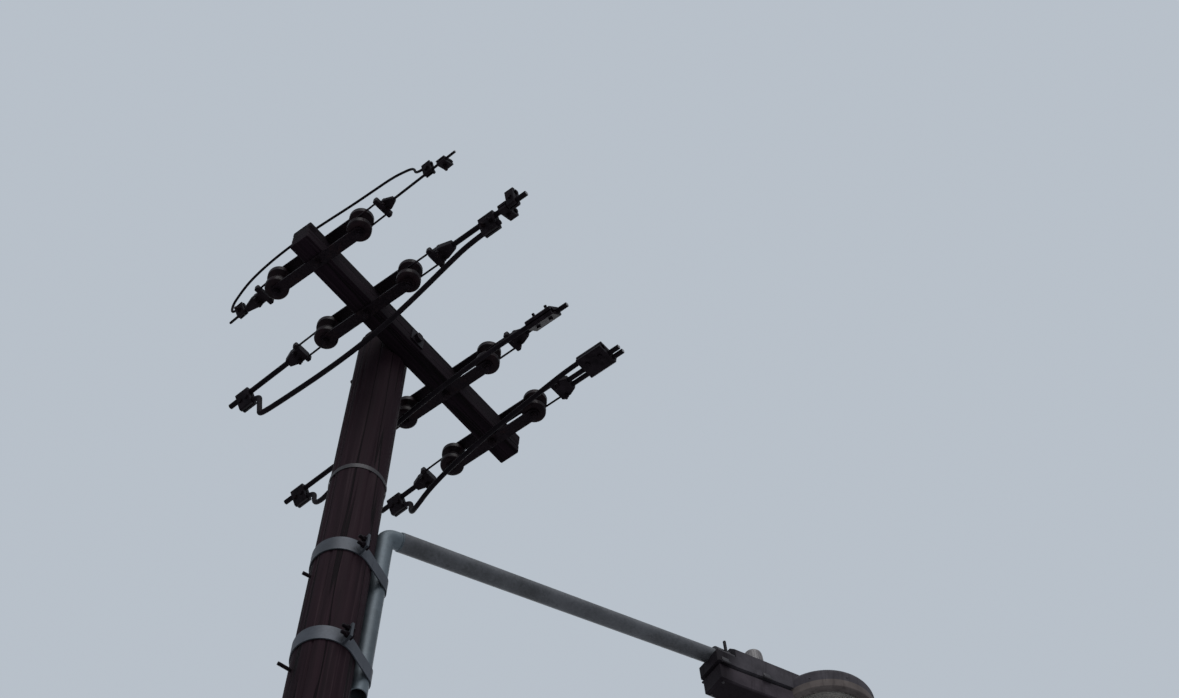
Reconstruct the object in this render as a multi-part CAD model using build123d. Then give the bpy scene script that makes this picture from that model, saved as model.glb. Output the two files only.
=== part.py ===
"""Timber utility pole for four overhead lines, with a pipe bracket and a street lantern.

Millimetres. The origin is the middle of the pole at ground level and +Z is up. The crossarm runs
along X, on the pole's -Y side, and the lines leave it towards -Y (front) and +Y (back).
"""
import os
from math import acos, atan2, cos, degrees, pi, radians, sin, sqrt, tan

from build123d import *

# Pole
POLE_HEIGHT = 9500.0
POLE_TOP_RADIUS = 89.5
POLE_TAPER = 0.004
POLE_TOP_ROUNDING = 45.0

# Crossarm, seated in a shallow notch of the pole
ARM_LENGTH = 1114.0
ARM_DEPTH = 80.0
ARM_HEIGHT = 98.0
ARM_DROP = 120.0
ARM_NOTCH = 9.4
ARM_END_CHAMFER = 6.0
NOTCH_PLAY = 1.0

# Shackle sets: where they sit along the arm, and the spool insulators out from the arm's middle
SET_OUTER = 461.0
SET_INNER = 209.0
SPOOL_REACH = 188.0
STRAP_WIDTH = 42.0
STRAP_THICKNESS = 6.0
HOLE_PLAY = 0.5

# Spool insulator
SPOOL_RADIUS = 42.5
SPOOL_WAIST_RADIUS = 23.0
SPOOL_FACE_RADIUS = 30.0
SPOOL_LIP_HEIGHT = 15.0
SPOOL_GROOVE_HALF = 20.0
SPOOL_GROOVE_FLOOR_HALF = 8.0
SPOOL_ROUNDING = 6.0

# Bolts, with the head, nut and width across flats as multiples of the shank's radius
BOLT_HEAD = 1.3
BOLT_NUT = 1.6
BOLT_FLATS = 3.1
KING_BOLT_RADIUS = 10.0
SET_BOLT_RADIUS = 8.0
CLAMP_BOLT_RADIUS = 5.0
BOLT_TAIL = 14.0
KING_WASHER = 60.0
KING_WASHER_THICKNESS = 5.0

# Wire bail round each spool and the clamp that it pulls
BAIL_RADIUS = 3.5
BAIL_PLAY = 0.3
CLAMP_CROSSBAR = 80.0
CLAMP_CROSSBAR_THICK = 18.0
CLAMP_WALL = 5.0
CLAMP_WEB = 1.5
CLAMP_TAPER_START = 0.55
CLAMP_BOLT_SHARE = 0.4

# Conductors: the lines fall away from the arm and lean a little towards -X, the first one more
LINE_SLOPE = 0.05
LINE_LEANS = (0.06, 0.029, 0.029, 0.029)
FIT_PLAY = 0.2
TAIL_PAST_CLAMP = 42.0

# Parallel-groove connector
JAW_MARGIN = 7.0
JAW_BACK = 7.0
JAW_GAP = 5.0
JAW_WEB = 3.0
JAW_CHAMFER = 4.0
JAW_BOLT_TAIL = 12.0
LONG_JAW = 50.0
GROOVE_PLAY = 0.4

# One row for each set, from the -X end of the arm. Distances run out from the spool's middle:
# conductor radius, number of conductors side by side, jumper radius, clamp start and length,
# and the connectors' middles with their lengths and rolls in degrees.
FRONT_LINES = (
    {
        "radius": 4.5, "count": 1, "jumper": 4.5, "clamp": (98, 62),
        "connectors": ((324, 34, 115), (386, 34, 25)),
    },
    {
        "radius": 9.5, "count": 1, "jumper": 9.5, "clamp": (112, 92),
        "connectors": ((363, 64, -60), (436, 34, 20), (474, 34, 110)),
    },
    {"radius": 9.0, "count": 1, "jumper": 9.0, "clamp": (104, 74), "connectors": ((265, 110, -135),)},
    {"radius": 9.0, "count": 2, "jumper": 9.0, "clamp": (104, 64), "connectors": ((300, 110, 180),)},
)
BACK_LINES = (
    {"radius": 4.5, "count": 1, "jumper": 4.5, "clamp": (60, 96), "connectors": ((178, 34, 60),)},
    {"radius": 9.5, "count": 1, "jumper": 9.5, "clamp": (112, 74), "connectors": ((399, 56, -120),)},
    {"radius": 9.0, "count": 1, "jumper": 9.0, "clamp": (112, 74), "connectors": ((520, 56, -120),)},
    {"radius": 9.0, "count": 1, "jumper": 9.0, "clamp": (104, 74), "connectors": ((276, 56, -120),)},
)
TWIN_GAP = 4.0

# Jumper routes, from the front line's connector to the back line's: x, y and height above the arm's middle
JUMPER_ROUTES = (
    (
        (-492.3, -654, 5.4), (-487.8, -579.3, 9.1), (-484, -558, 86), (-486, -520, 104), (-490, -460, 116),
        (-493, -370, 112), (-496, -275, 110), (-499, -165, 117), (-500, -55, 124), (-499, 45, 121),
        (-495, 130, 113), (-487, 200, 104), (-475, 252, 94), (-464, 296, 71), (-460.3, 288.6, 10.7),
        (-463.8, 228.8, 13.6),
    ),
    (
        (-203.2, -711.9, -50.5), (-199.4, -582.1, -44), (-194, -480, -76), (-191, -385, -118),
        (-189, -285, -161), (-187, -172, -197), (-186, -45, -217), (-186, 85, -224), (-186, 200, -221),
        (-184.5, 292, -213), (-183.5, 344, -206), (-183, 375, -195), (-182.8, 380, -164),
        (-182.3, 390, -118), (-181.8, 402.8, -47.1), (-179.2, 491.7, -51.6),
    ),
    (
        (177.2, -576.2, -37.5), (180.3, -467.4, -32), (166, -385, -62), (152, -300, -96), (145, -190, -128),
        (143, -70, -154), (148, 60, -176), (161, 190, -194), (182, 310, -204), (206, 395, -205),
        (224, 458, -188), (236, 510, -145), (239.1, 519.7, -52.1), (241.8, 612.5, -56.8),
    ),
    (
        (407.3, -606.8, -15), (410.2, -507, -10), (404, -420, -42), (398, -315, -80), (396, -200, -112),
        (400, -85, -138), (408, 30, -160), (425, 130, -176), (451, 208, -181), (477, 264, -150),
        (484, 276.1, -40), (486.7, 368, -44.5),
    ),
)
CORD_CORNER_SHARE = 0.45

# Street-light bracket: a pipe tail strapped to the pole, an elbow and a tapering arm
BRACKET_TURN = -17.5
TAIL_RADIUS = 30.0
TAIL_WALL = 3.2
TAIL_CLEARANCE = 0.3
TAIL_BOTTOM_DROP = 1700.0
ELBOW_DROP = 914.0
ELBOW_RADIUS = 42.0
ELBOW_STUB = 22.0
ELBOW_SPIGOT = 60.0
BRACKET_RISE = 13.6
BRACKET_LENGTH = 1400.0
BRACKET_ROOT_RADIUS = 33.2
BRACKET_TIP_RADIUS = 28.5

# Galvanised bands that hold the bracket, and the thin strap above them
BAND_UPPER_DROP = 1174.0
BAND_LOWER_DROP = 1615.0
BAND_HEIGHT = 60.0
BAND_THICKNESS = 4.0
BAND_EAR_ANGLE = 84.5
BAND_EAR_LENGTH = 46.0
BAND_BOLT_SPACING = 30.0
BAND_BOLT_RADIUS = 6.0
THIN_STRAP_DROP = 752.0
THIN_STRAP_HEIGHT = 20.0
THIN_STRAP_THICKNESS = 1.5
SEAL_LENGTH = 30.0
SEAL_THICKNESS = 3.0
SEAL_HEIGHT = 16.0
SEAL_TURN = -57.5

# Pegs on the pole's side: drop below the arm, direction in degrees, length
PEGS = ((1285.0, 160.0, 26.0), (1745.0, 165.0, 45.0))
PEG_RADIUS = 6.0

# Lantern, clamped on the arm's tip and drooping a little from the arm's line. Its sizes run ahead
# from the saddle's middle and up from the arm's axis there
SADDLE_FROM_TIP = 60.0
LANTERN_DROOP = 5.0
LANTERN_AHEAD = 437.0
LANTERN_RADIUS = 190.0
LANTERN_SEAM = -75.0
CANOPY_RIM = 33.0
CANOPY_RISE = 100.0
CAVITY_TOP_RADIUS = 85.0
CAVITY_RISE = 82.0
SHELF_BACK = -50.0
SHELF_TOP = -26.0
HOOD_BACK = 32.0
HOOD_FRONT = 300.0
HOOD_BACK_SHOULDER = 14.0
HOOD_FRONT_SHOULDER = 3.0
HOOD_CROWN = 26.0
HOOD_CROWN_SHARE = 0.55
HOOD_ROUNDING = 5.0
HOUSING_BACK_HALF = 55.0
HOUSING_FRONT_HALF = 72.0
SHELF_CHAMFER = 5.0
PIPE_SEAT_PLAY = 0.3
SADDLE_WIDTH = 54.0
SADDLE_THICK = 8.0
SADDLE_FOOT = 6.0
SADDLE_BOLT_OUT = 44.0
SADDLE_BOLT_RADIUS = 5.0
SADDLE_STUD = 101.0
SADDLE_STUD_DEPTH = 30.0
GEAR_COVER_DEPTH = 84.0
GEAR_COVER_CORNER = 9.0
GEAR_COVER_INSET = 7.0
GEAR_NECK_INSET = 15.0
GEAR_NECK_HEIGHT = 12.0
GEAR_COVER_TO_AXIS = 150.0
COVER_PLAY = 0.5
RING_HEIGHT = 34.0
RING_WIDTH = 25.0
RING_ROUNDING = 5.0
BOWL_DEPTH = 125.0
BOWL_WALL = 5.0
REFLECTOR_WALL = 1.5
REFLECTOR_RISE = 62.0
REFLECTOR_TOP_RADIUS = 78.0
REFLECTOR_FLANGE = 5.0
REFLECTOR_BULGE = 9.0
HOLDER_RADIUS = 16.0
HOLDER_TO_AXIS = 92.0
LAMP_HEIGHT = 17.0
LAMP_RADIUS = 28.0
LAMP_LENGTH = 124.0
LAMP_CAP_RADIUS = 13.0
LAMP_CAP_DEPTH = 26.0
LAMP_NECK = 14.0
PHOTOCELL_AHEAD = 160.0
PHOTOCELL_RADIUS = 35.0
PHOTOCELL_TOP_RADIUS = 31.0
PHOTOCELL_HEIGHT = 70.0
PHOTOCELL_ROUNDING = 10.0

ARM_Z = POLE_HEIGHT - ARM_DROP


def pole_radius(z):
    return POLE_TOP_RADIUS + POLE_TAPER * (POLE_HEIGHT - z)


ARM_Y = -(pole_radius(ARM_Z) - ARM_NOTCH) - ARM_DEPTH / 2
SET_X = (-SET_OUTER, -SET_INNER, SET_INNER, SET_OUTER)
BAIL_REACH = SPOOL_WAIST_RADIUS + BAIL_RADIUS + BAIL_PLAY


def hexagon(across_flats):
    return RegularPolygon(radius=across_flats / sqrt(3), side_count=6)


def bolt(radius, grip, washer=0.0, tail=BOLT_TAIL):
    """Bolt and nut along Z: the head bears at z = 0 from above, the nut at z = -grip from below."""
    head = BOLT_HEAD * radius
    nut = BOLT_NUT * radius
    flats = BOLT_FLATS * radius
    shank = Pos(0, 0, head - (grip + nut + tail + head) / 2) * Cylinder(radius, grip + nut + tail + head)
    solid = shank + extrude(hexagon(flats), head)
    solid += Pos(0, 0, -grip - nut) * extrude(hexagon(flats), nut)
    if washer:
        plate = Box(washer, washer, KING_WASHER_THICKNESS)
        solid += Pos(0, 0, -KING_WASHER_THICKNESS / 2) * plate
        solid += Pos(0, 0, -grip + KING_WASHER_THICKNESS / 2) * plate
    return solid


def drilled(radius, length):
    return Cylinder(radius + HOLE_PLAY, length)


def pole():
    foot = pole_radius(0)
    body = Pos(0, 0, POLE_HEIGHT / 2) * Cone(foot, POLE_TOP_RADIUS, POLE_HEIGHT)
    body = fillet(body.edges().group_by(Axis.Z)[-1], POLE_TOP_ROUNDING)
    notch = Box(4 * foot, ARM_DEPTH, ARM_HEIGHT + 2 * NOTCH_PLAY)
    body -= Pos(0, ARM_Y, ARM_Z) * notch
    body -= Pos(0, 0, ARM_Z) * Rot(90, 0, 0) * drilled(KING_BOLT_RADIUS, 4 * foot)
    return body


def crossarm():
    beam = Box(ARM_LENGTH, ARM_DEPTH, ARM_HEIGHT)
    ends = beam.edges().filter_by(Axis.X, reverse=True)
    beam = chamfer(ends, ARM_END_CHAMFER)
    beam -= Rot(90, 0, 0) * drilled(KING_BOLT_RADIUS, 2 * ARM_DEPTH)
    for x in SET_X:
        beam -= Pos(x, 0, 0) * drilled(SET_BOLT_RADIUS, 2 * ARM_HEIGHT)
    return Pos(0, ARM_Y, ARM_Z) * beam


def king_bolt():
    front = ARM_Y - ARM_DEPTH / 2 - KING_WASHER_THICKNESS
    back = pole_radius(ARM_Z - KING_WASHER / 2) + KING_WASHER_THICKNESS
    fastener = bolt(KING_BOLT_RADIUS, back - front, KING_WASHER, 2 * BOLT_TAIL)
    return Pos(0, front, ARM_Z) * Rot(90, 0, 0) * fastener


def strap_pair(x):
    plate = SlotOverall(2 * SPOOL_REACH + STRAP_WIDTH, STRAP_WIDTH, rotation=90)
    for y in (-SPOOL_REACH, 0, SPOOL_REACH):
        plate -= Pos(0, y) * Circle(SET_BOLT_RADIUS + HOLE_PLAY)
    bar = extrude(plate, STRAP_THICKNESS)
    upper = Pos(x, ARM_Y, ARM_Z + ARM_HEIGHT / 2) * bar
    lower = Pos(x, ARM_Y, ARM_Z - ARM_HEIGHT / 2 - STRAP_THICKNESS) * bar
    return [upper, lower]


def set_bolts(offsets):
    grip = ARM_HEIGHT + 2 * STRAP_THICKNESS
    top = ARM_Z + grip / 2
    return [Pos(x, ARM_Y + y, top) * bolt(SET_BOLT_RADIUS, grip) for x in SET_X for y in offsets]


def spool(x, side):
    """Spool insulator: two rounded flanges and a waist, turned about the bolt."""
    half = ARM_HEIGHT / 2
    profile = Polyline(
        (0, -half),
        (SPOOL_FACE_RADIUS, -half),
        (SPOOL_RADIUS, -half + SPOOL_LIP_HEIGHT),
        (SPOOL_RADIUS, -SPOOL_GROOVE_HALF),
        (SPOOL_WAIST_RADIUS, -SPOOL_GROOVE_FLOOR_HALF),
        (SPOOL_WAIST_RADIUS, SPOOL_GROOVE_FLOOR_HALF),
        (SPOOL_RADIUS, SPOOL_GROOVE_HALF),
        (SPOOL_RADIUS, half - SPOOL_LIP_HEIGHT),
        (SPOOL_FACE_RADIUS, half),
        (0, half),
        close=True,
    )
    face = make_face(profile)
    rims = [v for v in face.vertices() if v.X > SPOOL_WAIST_RADIUS - 1 and abs(v.Y) < half - 1]
    face = fillet(rims, SPOOL_ROUNDING)
    body = revolve(Plane.XZ * face, Axis.Z)
    body -= drilled(SET_BOLT_RADIUS, 2 * ARM_HEIGHT)
    return Pos(x, ARM_Y + side * SPOOL_REACH, ARM_Z) * body


def line_plane(x, lean, side):
    """Frame of one line: x runs out along the conductor, z is up, from the spool's middle."""
    origin = (x, ARM_Y + side * SPOOL_REACH, ARM_Z)
    out = Vector(side * lean, side, -LINE_SLOPE)
    across = Vector(0, 0, 1).cross(out)
    return Plane(origin=origin, x_dir=out, z_dir=out.cross(across))


def conductor_offsets(line):
    offset = line["radius"] + TWIN_GAP / 2
    return (0.0,) if line["count"] == 1 else (-offset, offset)


def bail(line):
    """Wire loop round the spool's waist, with both legs out to the clamp's crossbar."""
    reach = line["clamp"][0]
    legs = Line((reach, BAIL_REACH, 0), (0, BAIL_REACH, 0))
    bend = ThreePointArc((0, BAIL_REACH, 0), (-BAIL_REACH, 0, 0), (0, -BAIL_REACH, 0))
    back = Line((0, -BAIL_REACH, 0), (reach, -BAIL_REACH, 0))
    path = legs + bend + back
    return sweep(Plane(origin=(reach, BAIL_REACH, 0), z_dir=(-1, 0, 0)) * Circle(BAIL_RADIUS), path)


def clamp_bolt_side(line):
    """How far the clamp's bolts sit to each side of the line, just clear of the conductors."""
    return conductor_offsets(line)[-1] + line["radius"] + CLAMP_WEB + CLAMP_BOLT_RADIUS


def clamp_height(line):
    return 2 * (line["radius"] + CLAMP_WALL)


def clamp_bolt_places(line):
    start, length = line["clamp"]
    along = start + length * CLAMP_BOLT_SHARE
    side = clamp_bolt_side(line)
    return [(along, -side), (along, side)]


def dead_end_clamp(line):
    """Clamp body that tapers out along the line, with the crossbar that the bail's legs pull on."""
    start, length = line["clamp"]
    wide = 2 * (clamp_bolt_side(line) + CLAMP_BOLT_RADIUS + CLAMP_WALL)
    narrow = 2 * (conductor_offsets(line)[-1] + line["radius"] + CLAMP_WALL)
    height = clamp_height(line)
    root = Plane(origin=(start, 0, 0), z_dir=(1, 0, 0), x_dir=(0, 1, 0))
    waist = root.offset(length * CLAMP_TAPER_START)
    tip = root.offset(length)
    body = extrude(root * RectangleRounded(wide, height, CLAMP_WALL), length * CLAMP_TAPER_START)
    body += loft([
        waist * RectangleRounded(wide, height, CLAMP_WALL),
        tip * RectangleRounded(narrow, height, CLAMP_WALL),
    ])
    bar = Box(CLAMP_CROSSBAR_THICK, CLAMP_CROSSBAR, CLAMP_CROSSBAR_THICK)
    bar = fillet(bar.edges().filter_by(Axis.Z), CLAMP_WALL)
    body += Pos(start + CLAMP_CROSSBAR_THICK / 2, 0, 0) * bar
    for y in conductor_offsets(line):
        bore = Cylinder(line["radius"] + FIT_PLAY, 2 * length, rotation=(0, 90, 0))
        body -= Pos(start + CLAMP_CROSSBAR_THICK + length, y, 0) * bore
    for x, y in clamp_bolt_places(line):
        body -= Pos(x, y, 0) * drilled(CLAMP_BOLT_RADIUS, 4 * height)
    return body


def clamp_bolts(line):
    height = clamp_height(line)
    return [Pos(x, y, height / 2) * bolt(CLAMP_BOLT_RADIUS, height) for x, y in clamp_bolt_places(line)]


def line_end(line):
    """Where the conductor is cut off, just past the last thing that grips it."""
    ends = [line["clamp"][0] + line["clamp"][1]]
    ends += [middle + length / 2 for middle, length, roll in line["connectors"]]
    return max(ends) + TAIL_PAST_CLAMP


def conductors(line):
    start = line["clamp"][0] + CLAMP_CROSSBAR_THICK
    length = line_end(line) - start
    rod = Cylinder(line["radius"], length, rotation=(0, 90, 0))
    return [Pos(start + length / 2, y, 0) * rod for y in conductor_offsets(line)]


def groove_pitch(line):
    """From the line conductor to the jumper's groove, with the connector's bolts between them."""
    outermost = conductor_offsets(line)[-1]
    return outermost + line["radius"] + 2 * CLAMP_BOLT_RADIUS + 2 * JAW_WEB + line["jumper"]


def connector_frame(middle, roll):
    return Pos(middle, 0, 0) * Rot(roll, 0, 0)


def jaws(line, middle, length, roll):
    """Two grooved plates: conductors in one groove, the jumper in the other."""
    low = conductor_offsets(line)[0] - line["radius"] - JAW_MARGIN
    high = groove_pitch(line) + line["jumper"] + JAW_MARGIN
    thick = line["radius"] + JAW_BACK
    block = Box(length, high - low, thick - JAW_GAP / 2)
    block = chamfer(block.edges().filter_by(Axis.X).group_by(Axis.Z)[-1], JAW_CHAMFER)
    upper = Pos(0, (low + high) / 2, (thick + JAW_GAP / 2) / 2) * block
    for y in conductor_offsets(line):
        upper -= Pos(0, y, 0) * Cylinder(line["radius"] + FIT_PLAY, 2 * length, rotation=(0, 90, 0))
    groove = Cylinder(line["jumper"] + GROOVE_PLAY, 2 * length, rotation=(0, 90, 0))
    upper -= Pos(0, groove_pitch(line), 0) * groove
    for x, y in jaw_bolt_places(line, length):
        upper -= Pos(x, y, 0) * Cylinder(CLAMP_BOLT_RADIUS + HOLE_PLAY, 4 * thick)
    lower = mirror(upper, Plane.XY)
    frame = connector_frame(middle, roll)
    return [frame * upper, frame * lower]


def jaw_bolt_places(line, length):
    y = conductor_offsets(line)[-1] + line["radius"] + JAW_WEB + CLAMP_BOLT_RADIUS
    if length < LONG_JAW:
        return [(0, y)]
    return [(-length / 4, y), (length / 4, y)]


def jaw_bolts(line, middle, length, roll):
    thick = line["radius"] + JAW_BACK
    frame = connector_frame(middle, roll)
    fastener = bolt(CLAMP_BOLT_RADIUS, 2 * thick, tail=JAW_BOLT_TAIL)
    return [frame * Pos(x, y, thick) * fastener for x, y in jaw_bolt_places(line, length)]


def jumper(number):
    """Insulated tail that joins the two lines of a set past the arm, along its route's rounded corners."""
    route = [Vector(x, y, ARM_Z + z) for x, y, z in JUMPER_ROUTES[number]]
    radii = []
    for before, corner, after in zip(route, route[1:], route[2:]):
        turn = radians((corner - before).get_angle(after - corner))
        shorter = min((corner - before).length, (after - corner).length)
        radii.append(CORD_CORNER_SHARE * shorter / tan(turn / 2))
    path = FilletPolyline(*route, radius=radii)
    radius = FRONT_LINES[number]["jumper"]
    print("jumper", number + 1, "length", round(path.length, 1), "radii", [round(r) for r in radii])
    tube = sweep(Plane(origin=route[0], z_dir=route[1] - route[0]) * Circle(radius), path)
    print("   volume over section times length", round(tube.volume / (pi * radius ** 2 * path.length), 4))
    return tube


def bracket_frame():
    """Frame in the bracket's upright plane: x out from the pole, z up, from the pole's middle at the arm."""
    out = Vector(cos(radians(BRACKET_TURN)), sin(radians(BRACKET_TURN)), 0)
    return Plane(origin=(0, 0, ARM_Z), x_dir=out, z_dir=(0, 0, 1))


TAIL_REACH = pole_radius(ARM_Z - TAIL_BOTTOM_DROP) + TAIL_CLEARANCE + TAIL_RADIUS
ELBOW_SETBACK = ELBOW_RADIUS * tan(radians(90 - BRACKET_RISE) / 2)
ARM_ROOT = ELBOW_SETBACK + ELBOW_STUB
SADDLE_ALONG = BRACKET_LENGTH - SADDLE_FROM_TIP


def arm_frame():
    """Frame on the bracket's elbow corner: x along the rising arm, z square to it."""
    frame = bracket_frame()
    corner = frame.from_local_coords(Vector(TAIL_REACH, 0, -ELBOW_DROP))
    rise = radians(BRACKET_RISE)
    along = frame.x_dir * cos(rise) + Vector(0, 0, sin(rise))
    square = Vector(0, 0, cos(rise)) - frame.x_dir * sin(rise)
    return Plane(origin=corner, x_dir=along, z_dir=square)


def bracket_tail():
    """Pipe up the pole's side, its elbow and the short spigot that the arm slides over."""
    frame = bracket_frame()
    corner = Vector(TAIL_REACH, 0, -ELBOW_DROP)
    rise = radians(BRACKET_RISE)
    end = corner + Vector(cos(rise), 0, sin(rise)) * (ARM_ROOT + ELBOW_SPIGOT)
    points = [Vector(TAIL_REACH, 0, -TAIL_BOTTOM_DROP), corner, end]
    path = FilletPolyline(*[frame.from_local_coords(p) for p in points], radius=ELBOW_RADIUS)
    ring = Circle(TAIL_RADIUS) - Circle(TAIL_RADIUS - TAIL_WALL)
    return sweep(Plane(origin=path @ 0, z_dir=path % 0) * ring, path)


def bracket_arm():
    """Tapering tube, bored at its root to fit over the elbow's spigot."""
    length = BRACKET_LENGTH - ARM_ROOT
    outer = Cone(BRACKET_ROOT_RADIUS, BRACKET_TIP_RADIUS, length)
    inner = Cone(BRACKET_ROOT_RADIUS - TAIL_WALL, BRACKET_TIP_RADIUS - TAIL_WALL, length)
    socket = Pos(0, 0, -length / 2 + ELBOW_SPIGOT / 2) * Cylinder(TAIL_RADIUS + FIT_PLAY, ELBOW_SPIGOT)
    tube = outer - inner - socket
    return arm_frame().location * Pos(ARM_ROOT + length / 2, 0, 0) * Rot(0, 90, 0) * tube


def arm_radius(along):
    """Outer radius of the bracket's arm at a distance from the elbow's corner."""
    share = (along - ARM_ROOT) / (BRACKET_LENGTH - ARM_ROOT)
    return BRACKET_ROOT_RADIUS + share * (BRACKET_TIP_RADIUS - BRACKET_ROOT_RADIUS)


def belt_face(grow, radius):
    """Outline of a belt round pole and pipe, grown outwards: two circles and their common tangents."""
    pole_circle = radius + grow
    pipe_circle = TAIL_RADIUS + TAIL_CLEARANCE + grow
    swing = acos((pole_circle - pipe_circle) / TAIL_REACH)
    side = Vector(cos(swing), sin(swing))
    corners = [
        side * pole_circle,
        side * pipe_circle + Vector(TAIL_REACH, 0),
        Vector(side.X, -side.Y) * pipe_circle + Vector(TAIL_REACH, 0),
        Vector(side.X, -side.Y) * pole_circle,
    ]
    web = make_face(Polyline(*corners, close=True))
    return Circle(pole_circle) + Pos(TAIL_REACH, 0) * Circle(pipe_circle) + web


def pipe_side(radius):
    """Sector, seen from above, that the pipe's own strap covers."""
    reach = 4 * radius
    spread = radians(BAND_EAR_ANGLE)
    tips = [(reach * cos(a), reach * sin(a)) for a in (-spread, -spread / 2, 0, spread / 2, spread)]
    return make_face(Polyline((0, 0), *tips, close=True))


def band_ear(radius, sign, towards_pipe):
    """Ear that stands out from the pole where the two straps meet."""
    shift = BAND_THICKNESS / 2 * (-sign if towards_pipe else sign)
    start = radius + BAND_THICKNESS / 2
    ear = Pos(start + BAND_EAR_LENGTH / 2, shift) * Rectangle(BAND_EAR_LENGTH, BAND_THICKNESS)
    return Rot(0, 0, sign * BAND_EAR_ANGLE) * ear


def band_pieces(drop):
    """Pole band and pipe strap at one height, as two solids that meet at their bolted ears."""
    radius = pole_radius(ARM_Z - drop - BAND_HEIGHT / 2) + TAIL_CLEARANCE
    belt = belt_face(BAND_THICKNESS, radius) - belt_face(0, radius)
    sector = pipe_side(radius)
    pole_band = belt - sector
    pipe_strap = belt & sector
    for sign in (-1, 1):
        pole_band += band_ear(radius, sign, False)
        pipe_strap += band_ear(radius, sign, True)
    place = bracket_frame().location * Pos(0, 0, -drop - BAND_HEIGHT / 2)
    both = []
    for face in (pole_band, pipe_strap):
        solid = extrude(face, BAND_HEIGHT)
        for sign in (-1, 1):
            for height in band_bolt_heights():
                solid -= band_bolt_place(radius, sign, height) * drilled(BAND_BOLT_RADIUS, 8 * BAND_THICKNESS)
        both.append(place * solid)
    return both


def band_bolt_heights():
    return (BAND_HEIGHT / 2 - BAND_BOLT_SPACING / 2, BAND_HEIGHT / 2 + BAND_BOLT_SPACING / 2)


def band_bolt_place(radius, sign, height):
    """On the ears' meeting face, with Z pointing round the pole towards the band."""
    reach = radius + BAND_THICKNESS + BAND_EAR_LENGTH * 0.6
    return Rot(0, 0, sign * BAND_EAR_ANGLE) * Pos(reach, 0, height) * Rot(sign * 90, 0, 0)


def band_bolts():
    fasteners = []
    for drop in (BAND_UPPER_DROP, BAND_LOWER_DROP):
        radius = pole_radius(ARM_Z - drop - BAND_HEIGHT / 2) + TAIL_CLEARANCE
        place = bracket_frame().location * Pos(0, 0, -drop - BAND_HEIGHT / 2)
        for sign in (-1, 1):
            for height in band_bolt_heights():
                seat = band_bolt_place(radius, sign, height) * Pos(0, 0, BAND_THICKNESS)
                fasteners.append(place * seat * bolt(BAND_BOLT_RADIUS, 2 * BAND_THICKNESS))
    return fasteners


def thin_strap():
    """Narrow steel strap drawn tight round the pole, with its folded seal."""
    base = ARM_Z - THIN_STRAP_DROP - THIN_STRAP_HEIGHT / 2
    inside = pole_radius(base)
    ring = Circle(inside + THIN_STRAP_THICKNESS) - Circle(inside)
    strap = extrude(ring, THIN_STRAP_HEIGHT)
    seal = Pos(inside, 0, THIN_STRAP_HEIGHT / 2) * Box(4 * SEAL_THICKNESS, SEAL_LENGTH, SEAL_HEIGHT)
    seal &= Cylinder(inside + SEAL_THICKNESS, 4 * THIN_STRAP_HEIGHT)
    seal -= Cylinder(inside + THIN_STRAP_THICKNESS / 2, 4 * THIN_STRAP_HEIGHT)
    return Pos(0, 0, base) * (strap + Rot(0, 0, SEAL_TURN) * seal)


def pegs():
    shapes = []
    for drop, direction, length in PEGS:
        radius = pole_radius(ARM_Z - drop)
        pin = Cylinder(PEG_RADIUS, length + radius, rotation=(0, 90, 0))
        pin = Pos((length + radius) / 2, 0, 0) * pin
        pin -= Cylinder(radius + PEG_RADIUS * POLE_TAPER, 4 * PEG_RADIUS)
        shapes.append(Pos(0, 0, ARM_Z - drop) * Rot(0, 0, direction) * pin)
    return shapes


def lantern_part(shape):
    """From the lantern's own frame, on the arm's axis at the saddle, to its place on the pole."""
    return arm_frame().location * Pos(SADDLE_ALONG, 0, 0) * Rot(0, LANTERN_DROOP, 0) * shape


def pipe_bore():
    """Space for the arm's tip, which runs through the lantern's frame at the droop angle."""
    behind = -2 * SHELF_BACK
    length = behind + SADDLE_FROM_TIP + FIT_PLAY
    radius = arm_radius(SADDLE_ALONG + SHELF_BACK) + PIPE_SEAT_PLAY
    bore = Pos(length / 2 - behind, 0, 0) * Cylinder(radius, length, rotation=(0, 90, 0))
    return Rot(0, -LANTERN_DROOP, 0) * bore


def hood_section(ahead, half_width, shoulder):
    """Outline of the hood across the arm: upright walls, sloping shoulders and a flat crown."""
    crown = shoulder + HOOD_CROWN
    flat = HOOD_CROWN_SHARE * half_width
    face = make_face(Polyline(
        (-half_width, LANTERN_SEAM), (half_width, LANTERN_SEAM), (half_width, shoulder),
        (flat, crown), (-flat, crown), (-half_width, shoulder), close=True,
    ))
    face = fillet([v for v in face.vertices() if v.Y > LANTERN_SEAM + 1], HOOD_ROUNDING)
    return Plane(origin=(ahead, 0, 0), x_dir=(0, 1, 0), z_dir=(1, 0, 0)) * face


def canopy():
    """Round body over the lamp: an upright rim up from the seam and an elliptical dome on it."""
    rim = LANTERN_SEAM + CANOPY_RIM
    crown = LANTERN_SEAM + CANOPY_RISE
    outline = Polyline((0, crown), (0, LANTERN_SEAM), (LANTERN_RADIUS, LANTERN_SEAM), (LANTERN_RADIUS, rim))
    dome = EllipticalCenterArc((0, rim), LANTERN_RADIUS, crown - rim, start_angle=0, arc_size=90)
    profile = make_face([*outline.edges(), dome])
    return Pos(LANTERN_AHEAD, 0, 0) * revolve(Plane.XZ * profile, Axis.Z)


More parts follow.
